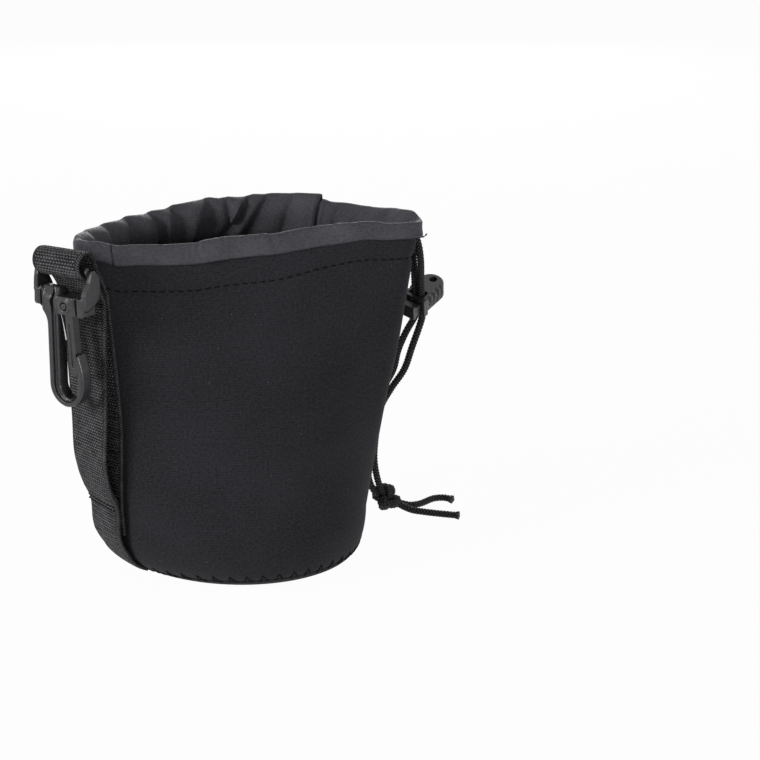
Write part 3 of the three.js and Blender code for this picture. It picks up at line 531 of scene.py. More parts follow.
# Neoprene wall: closed-cell foam with a black knit face, one panel rolled into a tube, round at the foot and
# flattened to a turned oval at the mouth. A line of stitching near the top holds the hem's facing inside.
NEOPRENE = 3.5
WALL_RADIUS, FOOT_RADIUS, FOOT_HEIGHT = 45.8, 33.5, 18.0
FOOT_LEAN = 6.0
RIM_HEIGHT, TIP_DROP, MOUTH_HALF = 120.5, 3.5, 59.0
MOUTH_TURN = math.radians(-17.2)
TIP_X, TIP_Y, TIP_RADIUS = 52.0, -12.0, 7.0
BOW_Y, BOW_RADIUS = -27.167, 61.167
STRAP_ANGLE = math.radians(222)
SEAM_TURN = math.acos(1 - 4 / FOOT_HEIGHT)
EXIT_SHARE = 0.422645
RIM_LIE = [
    (0.0, 2.6), (0.02, 2.0), (0.04, -0.6), (0.06, -1.0), (0.10, -2.4), (0.135, -2.9), (0.15, -2.3), (0.18, -1.8),
    (0.23, -1.4), (0.28, 0.8), (0.34, 2.5), (0.365, 2.0), (0.40, 2.7), (0.418, 2.6), (0.426, 3.2), (0.434, 4.6),
    (0.447, 4.6), (0.465, 4.0), (0.50, 2.3), (0.54, 1.9), (0.565, 1.6), (0.578, 3.0), (0.62, 2.6), (0.66, 1.9),
    (0.685, 0.8), (0.705, 0.8), (0.725, 1.4), (0.76, -0.2), (0.80, -0.9), (0.84, -0.4), (0.88, 0.0), (0.92, 1.0),
    (0.945, 2.0), (0.965, 2.3), (0.98, 2.0),
]
LIE_STEPS, LIE_BLUR = 2048, 1.6
MOUTH_X, MOUTH_Y = -2, 0.5
WALL_COLUMNS, FOOT_ROWS, WALL_ROWS = 289, 14, 78
WALL_BELOW_RIM, STITCH_DROP = 4.5, 15.3
SEAM_PLAY, SEAM_DENT, SEAM_DENT_WIDTH = 0.003, 0.25, 0.06


def arc(x, y, radius, start, end):
    turns = np.linspace(start, end, 1500)
    return np.stack((x + radius * np.cos(turns), y + radius * np.sin(turns)), axis=1)


bow_start = math.atan2(TIP_Y - BOW_Y, TIP_X)
mouth_line = np.concatenate(
    [
        arc(-TIP_X, TIP_Y, TIP_RADIUS, STRAP_ANGLE, 1.5 * math.pi),
        arc(TIP_X, TIP_Y, TIP_RADIUS, -0.5 * math.pi, bow_start),
        arc(0, BOW_Y, BOW_RADIUS, bow_start, math.pi - bow_start),
        arc(-TIP_X, TIP_Y, TIP_RADIUS, math.pi - bow_start, STRAP_ANGLE),
    ]
)
mouth_marks = marks_along(mouth_line)
PERIMETER = mouth_marks[-1]
lie_shares = np.arange(LIE_STEPS) / LIE_STEPS
lie_knots = [(share + lap, lift) for lap in (-1, 0, 1) for share, lift in RIM_LIE]
lie_table = np.interp(lie_shares, *np.array(lie_knots).T)
lie_blur = bell(np.minimum(lie_shares, 1 - lie_shares) * PERIMETER / LIE_BLUR)
lie_table = np.fft.ifft(np.fft.fft(lie_table) * np.fft.fft(lie_blur / lie_blur.sum())).real


def mouth_point(share):
    marks = np.mod(share, 1) * PERIMETER
    return np.interp(marks, mouth_marks, mouth_line[:, 0]), np.interp(marks, mouth_marks, mouth_line[:, 1])


def rim_height(share):
    """The rim's height at a share of the way round."""
    lie = np.interp(np.mod(share, 1), lie_shares, lie_table, period=1)
    return RIM_HEIGHT - TIP_DROP * (mouth_point(share)[0] / MOUTH_HALF) ** 2 + lie


def plan(share, blend):
    """The wall's outline between the round foot and the turned mouth."""
    angle = math.pi + math.tau * share
    low_x, low_y = WALL_RADIUS * np.cos(angle) - FOOT_LEAN, WALL_RADIUS * np.sin(angle)
    x, y = mouth_point(share)
    top_x = x * math.cos(MOUTH_TURN) - y * math.sin(MOUTH_TURN) + MOUTH_X
    top_y = x * math.sin(MOUTH_TURN) + y * math.cos(MOUTH_TURN) + MOUTH_Y
    return low_x + (top_x - low_x) * blend, low_y + (top_y - low_y) * blend


def foot_fullness(share, height):
    """How far the wall stands out low down on the strap's side, where the strap's end fills the seam."""
    beside = (np.mod(share + 0.5, 1) - 0.5) * PERIMETER
    return 2.6 * bell(beside / 22) * eased((height + 5) / 15) * (1 - eased((height - 25) / 35))


def tip_fullness(share, height):
    """How far the wall stands out under the cord's way out, where the mouth is pinched flat."""
    beside = (share - np.floor(share) - 0.405) * PERIMETER
    rise = 1.0 * eased((height - 50) / 30) + 0.6 * eased((height - 106) / 8)
    return rise * bell(beside / 5) * (1 - eased((height - 113) / 5))


def on_wall(share, height, outward):
    """Points on the wall's outer face at a share of the way round and a height, moved outward."""
    share, height, outward = np.broadcast_arrays(share, height, outward)
    blend = np.maximum(0, (height - FOOT_HEIGHT) / (rim_height(share) - FOOT_HEIGHT))
    x, y = plan(share, blend)
    step = 0.3 / PERIMETER
    (x1, y1), (x0, y0) = plan(share + step, blend), plan(share - step, blend)
    length = np.hypot(x1 - x0, y1 - y0)
    outward = outward + tip_fullness(share, height)
    x = x + outward * (y1 - y0) / length - foot_fullness(share, height)
    return np.stack((x, y - outward * (x1 - x0) / length, height + 0 * x), axis=-1)


def on_foot(share, turn, inward=0.0):
    """Points on the rounded foot. The turn runs from the flat underside to the upright wall."""
    share, turn, inward = np.broadcast_arrays(share, turn, inward)
    angle = math.pi + math.tau * share
    reach = WALL_RADIUS - FOOT_RADIUS
    nx, nz = np.sin(turn) / reach, -np.cos(turn) / FOOT_HEIGHT
    size = np.hypot(nx, nz)
    radius = FOOT_RADIUS + reach * np.sin(turn) - inward * nx / size
    height = FOOT_HEIGHT * (1 - np.cos(turn)) - inward * nz / size
    x = radius * np.cos(angle) - FOOT_LEAN * np.sin(turn) - foot_fullness(share, height)
    return np.stack((x, radius * np.sin(angle), height), axis=-1)


def stitch_drop(share):
    """How far below the rim the line of stitching runs."""
    share = np.mod(share, 1)
    near_exit = eased((share - 0.2) / 0.19) * (1 - eased((share - 0.43) / 0.1))
    return STITCH_DROP + 0.3 * np.cos(math.tau * (share - 0.08)) - 2.7 * near_exit


def seam_dent(turn):
    """How far the zigzag seam draws both edges in."""
    return SEAM_DENT * bell((turn - SEAM_TURN) / SEAM_DENT_WIDTH)


shares = np.linspace(0, 1, WALL_COLUMNS)[None, :]
foot_turns = np.linspace(SEAM_TURN + SEAM_PLAY, math.pi / 2, FOOT_ROWS)[:-1, None]
rise = np.linspace(0, 1, WALL_ROWS)[:, None]
wall_top = rim_height(shares) - WALL_BELOW_RIM
heights = FOOT_HEIGHT + (wall_top - FOOT_HEIGHT) * rise
sewn = bell((rim_height(shares) - stitch_drop(shares) - heights) / 1.5)
pillow = 0.35 * np.sin(5 * math.tau * shares + 1.0) * np.sin(math.pi * rise) ** 2
pressed = 1.2 * bell((shares - EXIT_SHARE) * PERIMETER / 4) * eased((heights - wall_top + 7) / 5)
rows = np.concatenate(
    (
        on_foot(shares, foot_turns, seam_dent(foot_turns)),
        on_wall(shares, heights, pillow - 0.7 * sewn - pressed),
    )
)
wall = loft("neoprene_wall_panel", rows, pattern(shares * PERIMETER, marks_along(rows[:, 60])))
weld(SHEET_WELD)
finish(wall, "SOLIDIFY", thickness=NEOPRENE * MM, offset=-1, use_even_offset=True)

KNIT_PITCH, LINT_SCALE = 0.0013, 95
KNIT_TONES, LINT_TONE = [(0.2, (0.009, 0.0087, 0.0108)), (0.8, (0.031, 0.030, 0.036))], (0.16, 0.16, 0.17, 1)
knit, start = new_material(
    "black_knit_neoprene", Roughness=0.9, Specular_IOR_Level=0.1, Sheen_Weight=0.06, Sheen_Roughness=0.6
)
flat, across, along = start.flat_pattern()
wales = start.maths("SINE", (across + along * 0.7) * (math.tau / KNIT_PITCH))
courses = start.maths("SINE", (across - along * 0.7) * (math.tau / KNIT_PITCH))
grain, worn = start.noise(flat, 1150, 2, "2D"), start.noise(flat, 38, 4, "2D")
lint_spot, lint_pick = (
    start.node("ShaderNodeTexVoronoi", {"voronoi_dimensions": "2D"}, {"Vector": flat, "Scale": LINT_SCALE}, output)
    for output in ("Distance", "Color")
)
lint = start.maths("LESS_THAN", lint_spot, 0.018) * start.maths("GREATER_THAN", lint_pick, 0.72)
base = start.ramp(KNIT_TONES, grain * 0.85 + (wales * courses * 0.13 + 0.08) + (worn - 0.5) * 0.35)
start.send(
    Base_Color=start.node("ShaderNodeMix", {"data_type": "RGBA"}, {0: lint * 0.5, 6: base, 7: LINT_TONE}, 2),
    Normal=start.bump(0.5, 0.0001, wales * courses * 0.35 + grain + worn * 0.5),
)
dress(wall, knit)
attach(wall, "pouch")
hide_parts("neoprene_wall")

# Stitching: bonded black thread, sewn by machine through wall and facing in a lockstitch near the rim, and
# in a zigzag that joins the wall to the base.
THREAD = 0.33
RIM_STITCHES, ZIGZAGS = 92, 48
bpy.ops.mesh.primitive_uv_sphere_add(segments=6, ring_count=5, radius=1)
stitch_form = bpy.context.object
stitch_points = np.array([vertex.co for vertex in stitch_form.data.vertices])
stitch_faces = [tuple(face.vertices) for face in stitch_form.data.polygons]
bpy.data.objects.remove(stitch_form)


def sew(name, starts, ends, thread, outward):
    """One piece of many stitches, each a short plump length of thread from its start to its end."""
    points, faces = [], []
    for start_point, end_point, out in zip(starts, ends, outward):
        middle, along_it = (start_point + end_point) / 2, end_point - start_point
        length = np.linalg.norm(along_it)
        along_it = along_it / length
        side = np.cross(along_it, out)
        side /= np.linalg.norm(side)
        offset = len(points) * len(stitch_points)
        faces += [tuple(corner + offset for corner in face) for face in stitch_faces]
        points.append(
            middle
            + stitch_points[:, 2:] * along_it * length / 2
            + stitch_points[:, :1] * side * thread
            + stitch_points[:, 1:2] * np.cross(side, along_it) * thread
        )
    mesh = bpy.data.meshes.new(name)
    mesh.from_pydata((np.concatenate(points) * MM).tolist(), [], faces)
    piece = bpy.data.objects.new(name, mesh)
    bpy.context.scene.collection.objects.link(piece)
    mesh.shade_smooth()
    dress(piece, black_thread)
    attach(piece, "pouch")


THREAD_TONES = [(0.3, (0.004, 0.004, 0.0045)), (0.75, (0.012, 0.012, 0.013))]
black_thread, start = new_material("black_thread", Specular_IOR_Level=0.05)
ply = start.noise(start.place(), 2200, 3)
start.send(
    Base_Color=start.ramp(THREAD_TONES, ply), Roughness=0.6 + ply * 0.3, Normal=start.bump(0.5, 0.00008, ply)
)

stitch_starts, stitch_ends = ((np.arange(RIM_STITCHES) + part) / RIM_STITCHES for part in (0.14, 0.86))
line_at = [on_wall(s, rim_height(s) - stitch_drop(s), -0.6) for s in (stitch_starts, stitch_ends)]
out_at = on_wall(stitch_starts, rim_height(stitch_starts) - stitch_drop(stitch_starts), 1.0) - line_at[0]
sew("rim_stitches", line_at[0], line_at[1], THREAD, out_at)

zig_shares = np.arange(ZIGZAGS) / ZIGZAGS
foot_left, peak, foot_right = (
    on_foot(zig_shares + part / ZIGZAGS, SEAM_TURN + rise_by, -0.1)
    for part, rise_by in ((0.22, -0.1), (0.5, 0.21), (0.78, -0.1))
)
out_at = on_foot(zig_shares, SEAM_TURN, -1.0) - on_foot(zig_shares, SEAM_TURN, 0.0)
sew(
    "base_stitches",
    np.concatenate((foot_left, peak)),
    np.concatenate((peak, foot_right)),
    THREAD,
    np.concatenate((out_at, out_at)),
)

# Base: a disc of the same neoprene, cut from the sheet and dished up at its edge. It is butted to the wall and
# held by the zigzag seam.
DISC_RINGS, DISH_ROWS = 26, 10
disc_turns = np.linspace(0, SEAM_TURN - SEAM_PLAY, DISH_ROWS)[:, None]
disc_edge = on_foot(shares, disc_turns, seam_dent(disc_turns))
disc_scale = np.linspace(0, 1, DISC_RINGS)[:-1, None, None]
disc_inside = disc_edge[:1] * np.concatenate((disc_scale, disc_scale, 1 + 0 * disc_scale), axis=2)
rows = np.concatenate((disc_inside, disc_edge))
base_disc = loft("neoprene_base_panel", rows, rows[..., :2].copy())
weld(SHEET_WELD)
finish(base_disc, "SOLIDIFY", thickness=NEOPRENE * MM, offset=-1, use_even_offset=True)
dress(base_disc, knit)
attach(base_disc, "pouch")
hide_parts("base_disc")

# Hem: two panels of fine nylon folded over the wall's edge, a band outside and a deep facing inside, with the
# cord's tunnel along the fold. The cord gathers it, so the facing stands in soft pleats round the back.
CLOTH, HEM_COLUMN = 0.4, 0.55
SEAM_THREAD, LOOSE_THREAD = 0.2, 0.27
CORD_DROP, CORD_DEPTH, CORD_SHORT = 2.9, -1.75, 6.5
LAP_AT, TUCK_AT = 0.137, 0.222
FRONT_SEAM, BACK_SEAM = 0.0343, 0.575338
CREASES = [
    (0.045, 0.1, 0.8), (0.088, -0.1, 0.9), (0.135, 0.15, 1.0), (0.178, 0.0, 0.8), (0.222, 0.2, 1.0), (0.27, -0.1, 0.9),
    (0.315, 0.1, 0.9), (0.36, 0.0, 0.8), (0.4, 0.0, 0.4), (0.447, 0.1, 0.5), (0.474, 0.3, 0.6), (0.512, 0.5, 0.7),
    (0.549, 0.1, 0.6), (BACK_SEAM, 0.0, 0.9), (0.612, 0.25, 1.0), (0.645, 0.6, 1.6), (0.669, 0.8, 3.4),
    (0.7, -0.2, 1.6), (0.724, 0.2, 3.8), (0.772, 0.28, 3.2), (0.803, -0.1, 3.4), (0.843, 0.4, 2.6), (0.886, 0.25, 2.0),
    (0.93, 0.1, 1.6), (0.97, 0.0, 1.3), (1.0, 0.0, 0.9), (1.045, 0.1, 0.8),
]
HEM_SECTION = [
    (6.8, 0.1), (6.3, 0.42), (5.2, 0.58), (3.6, 0.6), (1.9, 0.52), (0.8, 0.36), (0.2, 0.0), (0.0, -0.6),
    (0.25, -1.3), (1.2, -2.3), (3.0, -3.5), (5.5, -4.5), (8.0, -4.8), (11.0, -4.8), (14.0, -4.7), (17.5, -4.5),
    (21.0, -4.4),
]


def pleats(share, drop):
    """Depth of the pleat at each share of the way round and drop below the rim, and the place across it."""
    marks = np.array([at + lean * drop / PERIMETER for at, lean, depth in CREASES])
    marks = np.maximum.accumulate(marks + np.arange(len(marks)) * 1e-6)
    turned = np.where(share < marks[0], share + 1, np.where(share >= marks[-1], share - 1, share))
    here = np.clip(np.searchsorted(marks, turned, side="right") - 1, 0, len(marks) - 2)
    part = np.clip((turned - marks[here]) / (marks[here + 1] - marks[here]), 0, 1)
    return np.array([depth for at, lean, depth in CREASES])[here], part


def pleat_height(share, drop):
    """How far the facing stands in: each pleat laps over the next one toward the back seam."""
    depth, part = pleats(share, drop)
    return depth * np.sin(math.pi * (1 - (1 - part) ** 2)) ** 0.8 * eased((20 - drop) / 9)


def dents(share, drop, size):
    """Shallow unevenness of sewn cloth, as a sum of slanted waves."""
    x = share * PERIMETER
    return size * (
        np.sin(x / 3.1 + drop * 0.35 + 0.7) * 0.4 + np.sin(x / 5.3 - drop * 0.22 + 2.1) * 0.6
        + np.sin(x / 1.9 + drop * 0.6) * 0.18
    )


def band_lie(share, drop):
    """Two places where the front band is lapped over itself or tucked in."""
    after_lap = (share - LAP_AT) * PERIMETER - 0.15 * drop
    after_tuck = (share - TUCK_AT) * PERIMETER - 0.3 * drop
    lap = 1.0 * eased(after_lap / 0.7) * np.clip(1 - after_lap / 20, 0, 1) ** 0.7
    tuck = -0.45 * bell(after_tuck / 1.1) + 0.3 * bell((after_tuck + 2.5) / 2.2)
    return lap + tuck


def seam_ridge(share):
    """The ridge of the two turned seams, flatter at the front one."""
    ridge = 0
    for seam, size in ((FRONT_SEAM, 0.3), (BACK_SEAM, 1.0)):
        beside = np.abs(np.mod(share - seam + 0.5, 1) - 0.5) * PERIMETER
        ridge = ridge + size * (0.55 * bell((beside - 1.3) / 0.9) - 0.35 * bell(beside / 0.5))
    return ridge


def bent(points, steps=24):
    """A fine flat line through a few points."""
    points = np.array(points, float)
    padded = np.concatenate((points[:1], points, points[-1:]))
    t = np.linspace(0, 1, steps, endpoint=False)[:, None]
    pieces = []
    for before, here, there, after in zip(padded, padded[1:], padded[2:], padded[3:]):
        pieces.append(between(here, there, (there - before) / 2, (after - here) / 2, t))
    return np.concatenate([*pieces, points[-1:]])


def hem_rows(share):
    """Rows of the hem's outer skin, from the band's lower edge over the fold to the facing's lower edge."""
    rim = rim_height(share)
    beside = np.array((-1.4, -0.9, -0.45, 0.0, 0.45, 0.9, 1.4)) / PERIMETER
    around_it = [pleats(share + offset, 0.0) for offset in beside]
    pleat_steps = np.mean([depth * (place - 0.45) for depth, place in around_it], axis=0)
    past_seam = (share - BACK_SEAM) * PERIMETER
    from_seam = np.abs(past_seam)
    seam_step = np.where(past_seam > 0, 0.9 * np.exp(-from_seam / 9), -0.7 * np.exp(-from_seam / 6))
    away = np.abs(share - np.floor(share) - EXIT_SHARE) * PERIMETER
    bulge = 1.3 * eased((8 - away) / 4)
    narrow = 0.2 * eased((share - 0.28) / 0.12) * (1 - eased((share - 0.44) / 0.05))
    section = bent(HEM_SECTION, 8)
    steps = marks_along(section)
    marks = np.concatenate((np.linspace(0, 9, 26)[:-1], np.linspace(9, steps[-1], 34)))
    rows = []
    for mark in marks:
        drop, out = np.interp(mark, steps, section[:, 0]), np.interp(mark, steps, section[:, 1])
        inner = eased((mark - 6.5) / 4.0)
        outer = 1 - eased((mark - 6.0) / 3.0)
        crest = bell((mark - 7.4) / 2.0)
        push = bulge * (1 - inner) + outer * band_lie(share, drop) + dents(share, drop, 0.16)
        fold = inner * (pleat_height(share, drop) + seam_ridge(share)) - outer * seam_ridge(share)
        lift = crest * (0.3 * pleat_steps + 0.5 * band_lie(share, 0.0) + seam_step)
        rows.append(on_wall(share, rim - drop * (1 - narrow * outer) + lift, 0.3 + out + push - fold))
    return np.stack(rows)


def hem_panel(name, start_share, end_share):
    """A panel of the hem between two shares of the way round, solid to the cloth's thickness."""
    share = np.linspace(start_share, end_share, int((end_share - start_share) * PERIMETER / HEM_COLUMN))
    rows = hem_rows(share)
    drops = marks_along(rows[:, rows.shape[1] // 2])
    panel = loft(name, rows, pattern(share * PERIMETER, drops))
    bpy.ops.object.shade_smooth()
    finish(panel, "SOLIDIFY", thickness=CLOTH * MM, offset=-1, use_even_offset=False)
    return panel


WARP_PITCH, WEFT_PITCH = 0.0011, 0.0009
NYLON_TONES = [(0.15, (0.026, 0.026, 0.0308)), (0.85, (0.1, 0.1, 0.114))]
black_nylon, start = new_material(
    "black_nylon_cloth", Specular_IOR_Level=0.12, Sheen_Weight=0.03, Sheen_Roughness=0.35
)
flat, across, along = start.flat_pattern()
warp = start.maths("SINE", (across + along * 0.8) * (math.tau / WARP_PITCH))
weft = start.maths("SINE", (along - across * 0.5) * (math.tau / WEFT_PITCH))
slub, worn = start.noise(flat, 900, 3, "2D"), start.noise(flat, 60, 4, "2D")
start.send(
    Base_Color=start.ramp(NYLON_TONES, (warp * weft) * 0.2 + slub * 0.5 + worn * 0.5),
    Roughness=0.4 + slub * 0.2,
    Normal=start.bump(0.9, 0.0001, warp * weft * 0.5 + slub * 0.5),
)

SEAM_HALF = 0.04 / PERIMETER
for name, node, start_share, end_share in [
    ("nylon_hem_front", "hem_front", FRONT_SEAM + SEAM_HALF, BACK_SEAM - SEAM_HALF),
    ("nylon_hem_back", "hem_back", BACK_SEAM + SEAM_HALF, 1 + FRONT_SEAM - SEAM_HALF),
]:
    panel = hem_panel(name, start_share, end_share)
    dress(panel, black_nylon)
    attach(panel, "pouch")
    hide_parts(node)

seam_line = hem_rows(np.array([BACK_SEAM]))[27:55, 0]
seam_starts, seam_ends = seam_line[:-1:2], 0.3 * seam_line[:-1:2] + 0.7 * seam_line[1::2]
seam_out = np.tile((0.4, 0.8, 0.4), (len(seam_starts), 1))
sew("back_seam_stitches", seam_starts, seam_ends, SEAM_THREAD, seam_out)

loose_end = np.array([(50.6, -29.9, 113.6), (51.7, -30.5, 113.5), (52.6, -31.1, 114.0), (53.2, -31.6, 115.0)])
loose_out = np.tile((0.0, 0.0, 1.0), (len(loose_end) - 1, 1))
sew("loose_thread_end", loose_end[:-1], loose_end[1:], LOOSE_THREAD, loose_out)

cord_short = CORD_SHORT / PERIMETER
hem_cord_shares = np.linspace(EXIT_SHARE + cord_short, 1 + EXIT_SHARE - cord_short, 900)
line = on_wall(hem_cord_shares, rim_height(hem_cord_shares) - CORD_DROP, CORD_DEPTH)
hem_cord = braid("drawcord_in_hem", line, marks_along(line), CORD_RADIUS, 12)
dress(hem_cord, black_braid)
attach(hem_cord, "pouch")
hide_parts("drawcord_hem")

# Webbing strap: 20 mm ribbed nylon webbing, sewn into the base seam, running up the outside as a belt loop,
# round the hook's bar and back down against the wall, with cross stitches at the ends of the loop.
WEBBING_WIDTH, WEBBING = 20.0, 1.4
INNER_OUT, OUTER_OUT, FOLD_OUT, FOLD_HEIGHT, FOLD_RADIUS = 1.0, 2.7, 9.5, 114.0, 4.2
HIGH_STITCH = 100.0
RIB_PITCH, RIB_RISE, PICK_PITCH = 1.25, 0.05, 1.0
LOW_LAP = 18.5
TACK_HEIGHTS, TACK_HALF, TACK_THREAD = (27.4, 28.8, 99.4, 100.8), 0.75, 0.34


def strap_foot(turn, out):
    """A place on the strap's side view over the rounded foot."""
    reach = WALL_RADIUS - FOOT_RADIUS + FOOT_LEAN
    normal = np.array((math.sin(turn) / reach, -math.cos(turn) / FOOT_HEIGHT))
    normal /= np.linalg.norm(normal)
    on_face = np.array((reach * (math.sin(turn) - 1), FOOT_HEIGHT * (1 - math.cos(turn))))
    return tuple(on_face + out * normal)


swing, lift = FOLD_OUT - OUTER_OUT, FOLD_HEIGHT - FOLD_RADIUS - HIGH_STITCH
outer_layer = bent(
    [
        strap_foot(turn, out)
        for turn, out in zip(np.linspace(SEAM_TURN, math.radians(66), 4), (-0.1, 0.5, 0.9, INNER_OUT))
    ]
    + [
        strap_foot(math.acos(1 - (LOW_LAP - WEBBING) / FOOT_HEIGHT), OUTER_OUT),
        (OUTER_OUT, 28), (OUTER_OUT + 3.0, 39), (OUTER_OUT + 4.2, 50), (OUTER_OUT + 2.2, 75),
        (OUTER_OUT, HIGH_STITCH),
    ]
)
to_fold = bent(
    [
        (OUTER_OUT, HIGH_STITCH), (OUTER_OUT + 0.18 * swing, HIGH_STITCH + 0.43 * lift),
        (OUTER_OUT + 0.5 * swing, HIGH_STITCH + 0.84 * lift), (FOLD_OUT, FOLD_HEIGHT - FOLD_RADIUS),
    ]
)
fold_turn = np.linspace(-math.pi / 2, math.pi, 60)
fold_round = np.stack((np.cos(fold_turn), np.sin(fold_turn)), axis=1)
fold = np.array((FOLD_OUT, FOLD_HEIGHT)) + FOLD_RADIUS * fold_round
inner_layer = bent(
    [
        (FOLD_OUT - FOLD_RADIUS, FOLD_HEIGHT), (INNER_OUT + 0.46 * swing, HIGH_STITCH + 1.05 * lift),
        (INNER_OUT + 0.3 * swing, HIGH_STITCH + 0.8 * lift), (INNER_OUT + 0.12 * swing, HIGH_STITCH + 0.4 * lift),
        (INNER_OUT, HIGH_STITCH), (INNER_OUT, (HIGH_STITCH + LOW_LAP) / 2), (INNER_OUT, LOW_LAP),
    ]
)
side_view = np.concatenate((outer_layer[:-1], to_fold[:-1], fold[:-1], inner_layer))
view_marks = marks_along(side_view)
strap_marks = np.linspace(0, view_marks[-1], int(view_marks[-1] / 0.45))
strap_line = np.stack([np.interp(strap_marks, view_marks, side_view[:, axis]) for axis in range(2)], axis=1)
strap_ahead = np.gradient(strap_line, axis=0)
strap_ahead /= np.linalg.norm(strap_ahead, axis=1)[:, None]


def on_strap(side, out, height):
    """Points of the strap by their place across it, their distance from the wall and their height."""
    side, out, height = np.broadcast_arrays(side, out, height)
    hug = 0.5 * np.clip(1 - (out - OUTER_OUT) / WEBBING, 0, 1) * (1 - 0.8 * eased((height - 60) / 40))
    zero = np.zeros(side.shape)
    middle = on_wall(zero, height, out)
    ahead = on_wall(zero + 0.3 / PERIMETER, height, 0) - on_wall(zero - 0.3 / PERIMETER, height, 0)
    ahead /= np.linalg.norm(ahead, axis=-1)[..., None]
    straight = middle + side[..., None] * ahead
    curved = on_wall(side / PERIMETER, height, out)
    return straight + hug[..., None] * (curved - straight)


sides = np.linspace(-1, 1, 81) * WEBBING_WIDTH / 2
edge_round = (1 - np.abs(sides / (WEBBING_WIDTH / 2)) ** 14) ** 0.5
rib = RIB_RISE * np.cos(math.tau * sides / RIB_PITCH) * edge_round
half_thick = (WEBBING / 2 - RIB_RISE) * (0.35 + 0.65 * edge_round) + rib
around = np.concatenate((sides, sides[::-1], sides[:1]))
depth = np.concatenate((half_thick, -half_thick[::-1], half_thick[:1]))
rows = on_strap(
    around[None, :],
    strap_line[:, :1] + depth[None, :] * strap_ahead[:, 1:],
    strap_line[:, 1:] - depth[None, :] * strap_ahead[:, :1],
)
flat_across = np.concatenate((sides, 2 * WEBBING_WIDTH - sides[::-1], sides[:1] + 4 * WEBBING_WIDTH))
strap = loft("webbing_belt_strap", rows, pattern(flat_across, strap_marks))
weld(SHEET_WELD, fill=True)

SELVAGE_AT, SELVAGE_GAP, ROPE_PITCH, WEBBING_YARN = 0.0088, 0.00025, 0.0008, 0.00026
WEBBING_TONES = [(0.2, (0.003, 0.003, 0.0034)), (0.44, (0.05, 0.05, 0.054)), (0.88, (0.19, 0.19, 0.2))]
ribbed, start = new_material("black_ribbed_webbing", Specular_IOR_Level=0.12, Sheen_Weight=0.02)
flat, across, along = start.flat_pattern()
fuzz, uneven = start.noise(flat, 1600, 3, "2D"), start.noise(flat, 260, 2, "2D")
row = start.maths("FLOOR", along / (PICK_PITCH * MM))
stagger = start.maths("MODULO", start.maths("ABSOLUTE", row), 2) * 0.5 + uneven * 0.5
pick = 0 - start.maths("COSINE", along * (math.tau / (PICK_PITCH * MM)))
strand = start.maths("COSINE", (across / (RIB_PITCH * MM) + stagger) * math.tau)
yarns = start.maths("SINE", (across + along * 0.35) * (math.tau / WEBBING_YARN))
face = WEBBING_WIDTH * MM
from_middle = start.maths("ABSOLUTE", start.maths("MODULO", across + face, 2 * face) - face)
selvage = start.maths("GREATER_THAN", from_middle, SELVAGE_AT)
rope = start.maths("SINE", (along + from_middle * 0.6) * (math.tau / ROPE_PITCH))
sunk = start.maths("MAXIMUM", 1 - start.maths("ABSOLUTE", from_middle - SELVAGE_AT) / SELVAGE_GAP, 0)
raised = (pick * 0.55 + strand * 0.45) * (1 - selvage) + rope * selvage * 0.7 - sunk
# The colour follows the weave's height: ridges and the selvage's dashes painted lighter as painted highlight, the
# hollows and the groove beside the selvage darker as painted shade.
start.send(
    Base_Color=start.ramp(WEBBING_TONES, raised * 0.46 + fuzz * 0.35 + (uneven - 0.5) * 0.5 + 0.3),
    Roughness=0.5 + fuzz * 0.25,
    Normal=start.bump(1.0, 0.0004, raised + yarns * 0.1 + fuzz * 0.3),
)
dress(strap, ribbed)
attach(strap, "pouch")
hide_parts("webbing_strap")

tack_sides = np.linspace(-8.6, 8.6, 10)
tack_at = OUTER_OUT + WEBBING / 2 + RIB_RISE
tack_starts, tack_ends, tack_out = (
    np.concatenate([on_strap(tack_sides + aside, tack_at + out, height + up) for height in TACK_HEIGHTS])
    for aside, out, up in ((-TACK_HALF, 0, 0), (TACK_HALF, 0, 0.25), (0, 1, 0))
)
sew("strap_stitches", tack_starts, tack_ends, TACK_THREAD, tack_out - tack_starts)

# Snap hook: moulded acetal, an eye with two ears and a bar for the webbing, a grooved J and a hinged gate
# that a leaf spring holds against the nose. The webbing is folded round the bar before it is sewn.
HOOK_GRAIN, HOOK_ROUNDS, GATE_GRAIN, GATE_ROUNDS = 0.00022, 8, 0.00014, 3
J_BEND = 39.9
EAR_FOOT, EAR_HALF, EAR_TOP, EAR_INSIDE = -9, 3.7, 2.4, 9.2
LIMB_SLIDE, GATE_SLIDE, GATE_PIVOT = 2.3, 1.8, -12.4
HOOK_PLACE = np.array((-69.86, -2.42, 113.0))
HOOK_AXES = np.array(((0.40314, -0.91514, 0.0), (0.91514, 0.40314, 0.0), (0.0, 0.0, 1.0)))
EAR_ARCH = [
    (-9.0, 0.0, 3.7), (-8.0, -0.1, 3.8), (-6.7, 0.2, 3.5), (-4.0, 1.0, 2.6), (-2.5, 0.9, 2.0), (-1.2, 0.6, 1.4),
    (-0.3, 0.4, 0.7),
]


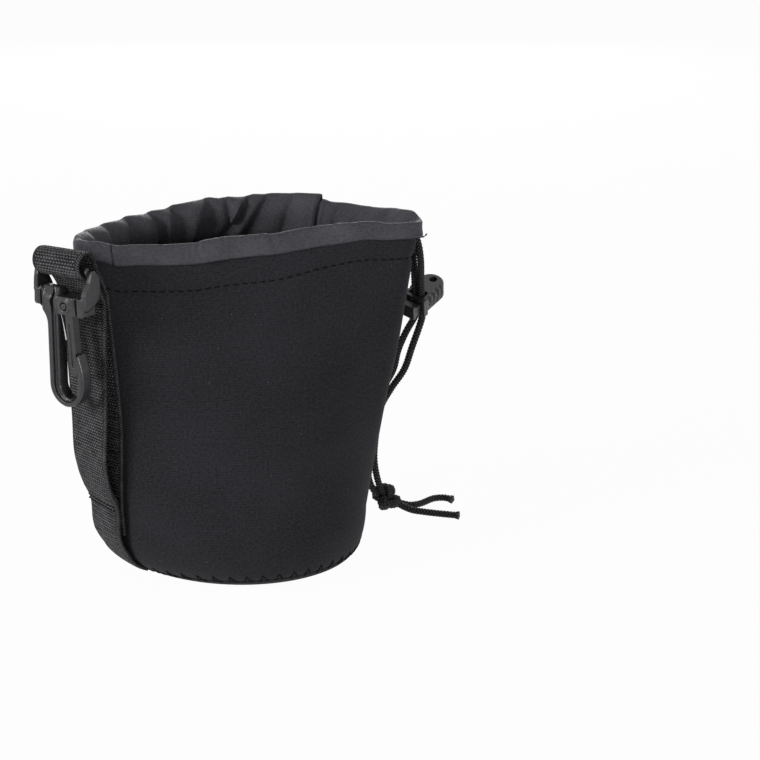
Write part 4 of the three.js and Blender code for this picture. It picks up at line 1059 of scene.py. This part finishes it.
def drawn_in(x, y, z):
    """Draws the ears in to thin arches, lays the bar low in the webbing's fold and parts the shoulder."""
    reach = np.abs(x)
    ear = eased((reach - EAR_INSIDE) / 1.4)
    bar = (1 - ear) * (np.hypot(y, z) < 2.8) * (reach < 10.9)
    low = np.where(z > EAR_FOOT, EAR_FOOT + (z - EAR_FOOT) * 0.754, z)
    heights, middles, halves = np.array(EAR_ARCH).T
    full = EAR_HALF * np.sqrt(np.clip(1 - (np.maximum(z, 0) / EAR_TOP) ** 2, 0.05, 1))
    thin = np.interp(low, heights, middles) + y / full * np.interp(low, heights, halves)
    arch = np.where(z > EAR_FOOT, thin, y)
    parting = 1.4 * bell((x + 9.9) / 0.4) * eased((z + 15.5) / 2)
    parting += 1.3 * bell((x - 8.0) / 0.55) * eased((z + 17) / 2)
    narrow = reach - 0.4 * eased((reach - EAR_INSIDE) / 1.6) - 0.9 * np.clip((reach - 10.8) / 2.8, 0, 1)
    return (
        np.sign(x) * narrow,
        y + ear * (arch - y) - bar * (0.35 * y - 0.5) + parting * (y < 0.3) * (z < -8),
        z + ear * (low - z) - bar * (0.35 * z + 1.1),
    )


def rolled(x, y, z):
    """Rolls the top of the limb's shoulder back and lets its foot run flush into the limb."""
    limb_side = (1 - eased((x + 1) / 3)) * (1 - eased((-x - 8.6) / 0.6)) * (z > -16.5) * (z < -5)
    back = np.clip((z + 11.5) / 4.7, 0, 1) ** 2 * np.maximum(-1.4 - y, 0)
    flush = np.maximum(-4.7 + 0.8 * eased((-z - 10) / 5) - y, 0)
    return x, y + limb_side * np.maximum(0.6 * back, flush), z


def grooved(x, y, z):
    """Widens the groove that runs down the limb and round the bend of the J, towards the outer edge."""
    below = np.minimum(z + J_BEND, 0)
    reach = np.maximum(np.hypot(x, below), 0.5)
    wider = np.interp(reach, (3.4, 4.5, 6.6), (0, 0.75, 0)) * (1 - eased((x - 1) / 4))
    grow = 1 + wider * eased((-z - 10) / 1.5) / reach
    return x * grow, y, np.where(below < 0, below * grow - J_BEND, z)


def slid(x, y, z):
    """Sets the J, its gate and the foot of the outer ear nearer to the middle of the webbing."""
    limb_side = 1 - eased((x + 2.8) / 3.8)
    limb_slide = LIMB_SLIDE * eased((-z - 3) / 6)
    gate_slide = GATE_SLIDE * np.clip((GATE_PIVOT - z) / 24, 0, 1) * (1 - eased((x - 9) / 2))
    return x + limb_side * limb_slide + (1 - limb_side) * gate_slide, y, z


hook_body = eased_copy("hook_body", "snap_hook_body", HOOK_GRAIN, HOOK_ROUNDS)
for form in (drawn_in, rolled, grooved, slid):
    reshape(hook_body, HOOK_PLACE, HOOK_AXES, form)
dress(hook_body, satin_black)
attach(hook_body, "hook")
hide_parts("hook_body")
hook_gate = eased_copy("hook_gate", "snap_hook_gate", GATE_GRAIN, GATE_ROUNDS)
reshape(hook_gate, HOOK_PLACE, HOOK_AXES, slid)
dress(hook_gate, satin_black)
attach(hook_gate, "gate")
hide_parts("hook_gate")
gate_leaf = merged_copy("gate_spring", "gate_leaf_spring")
reshape(gate_leaf, HOOK_PLACE, HOOK_AXES, slid)
dress(gate_leaf, spring_steel)
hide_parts("gate_spring")
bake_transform(gate_leaf)
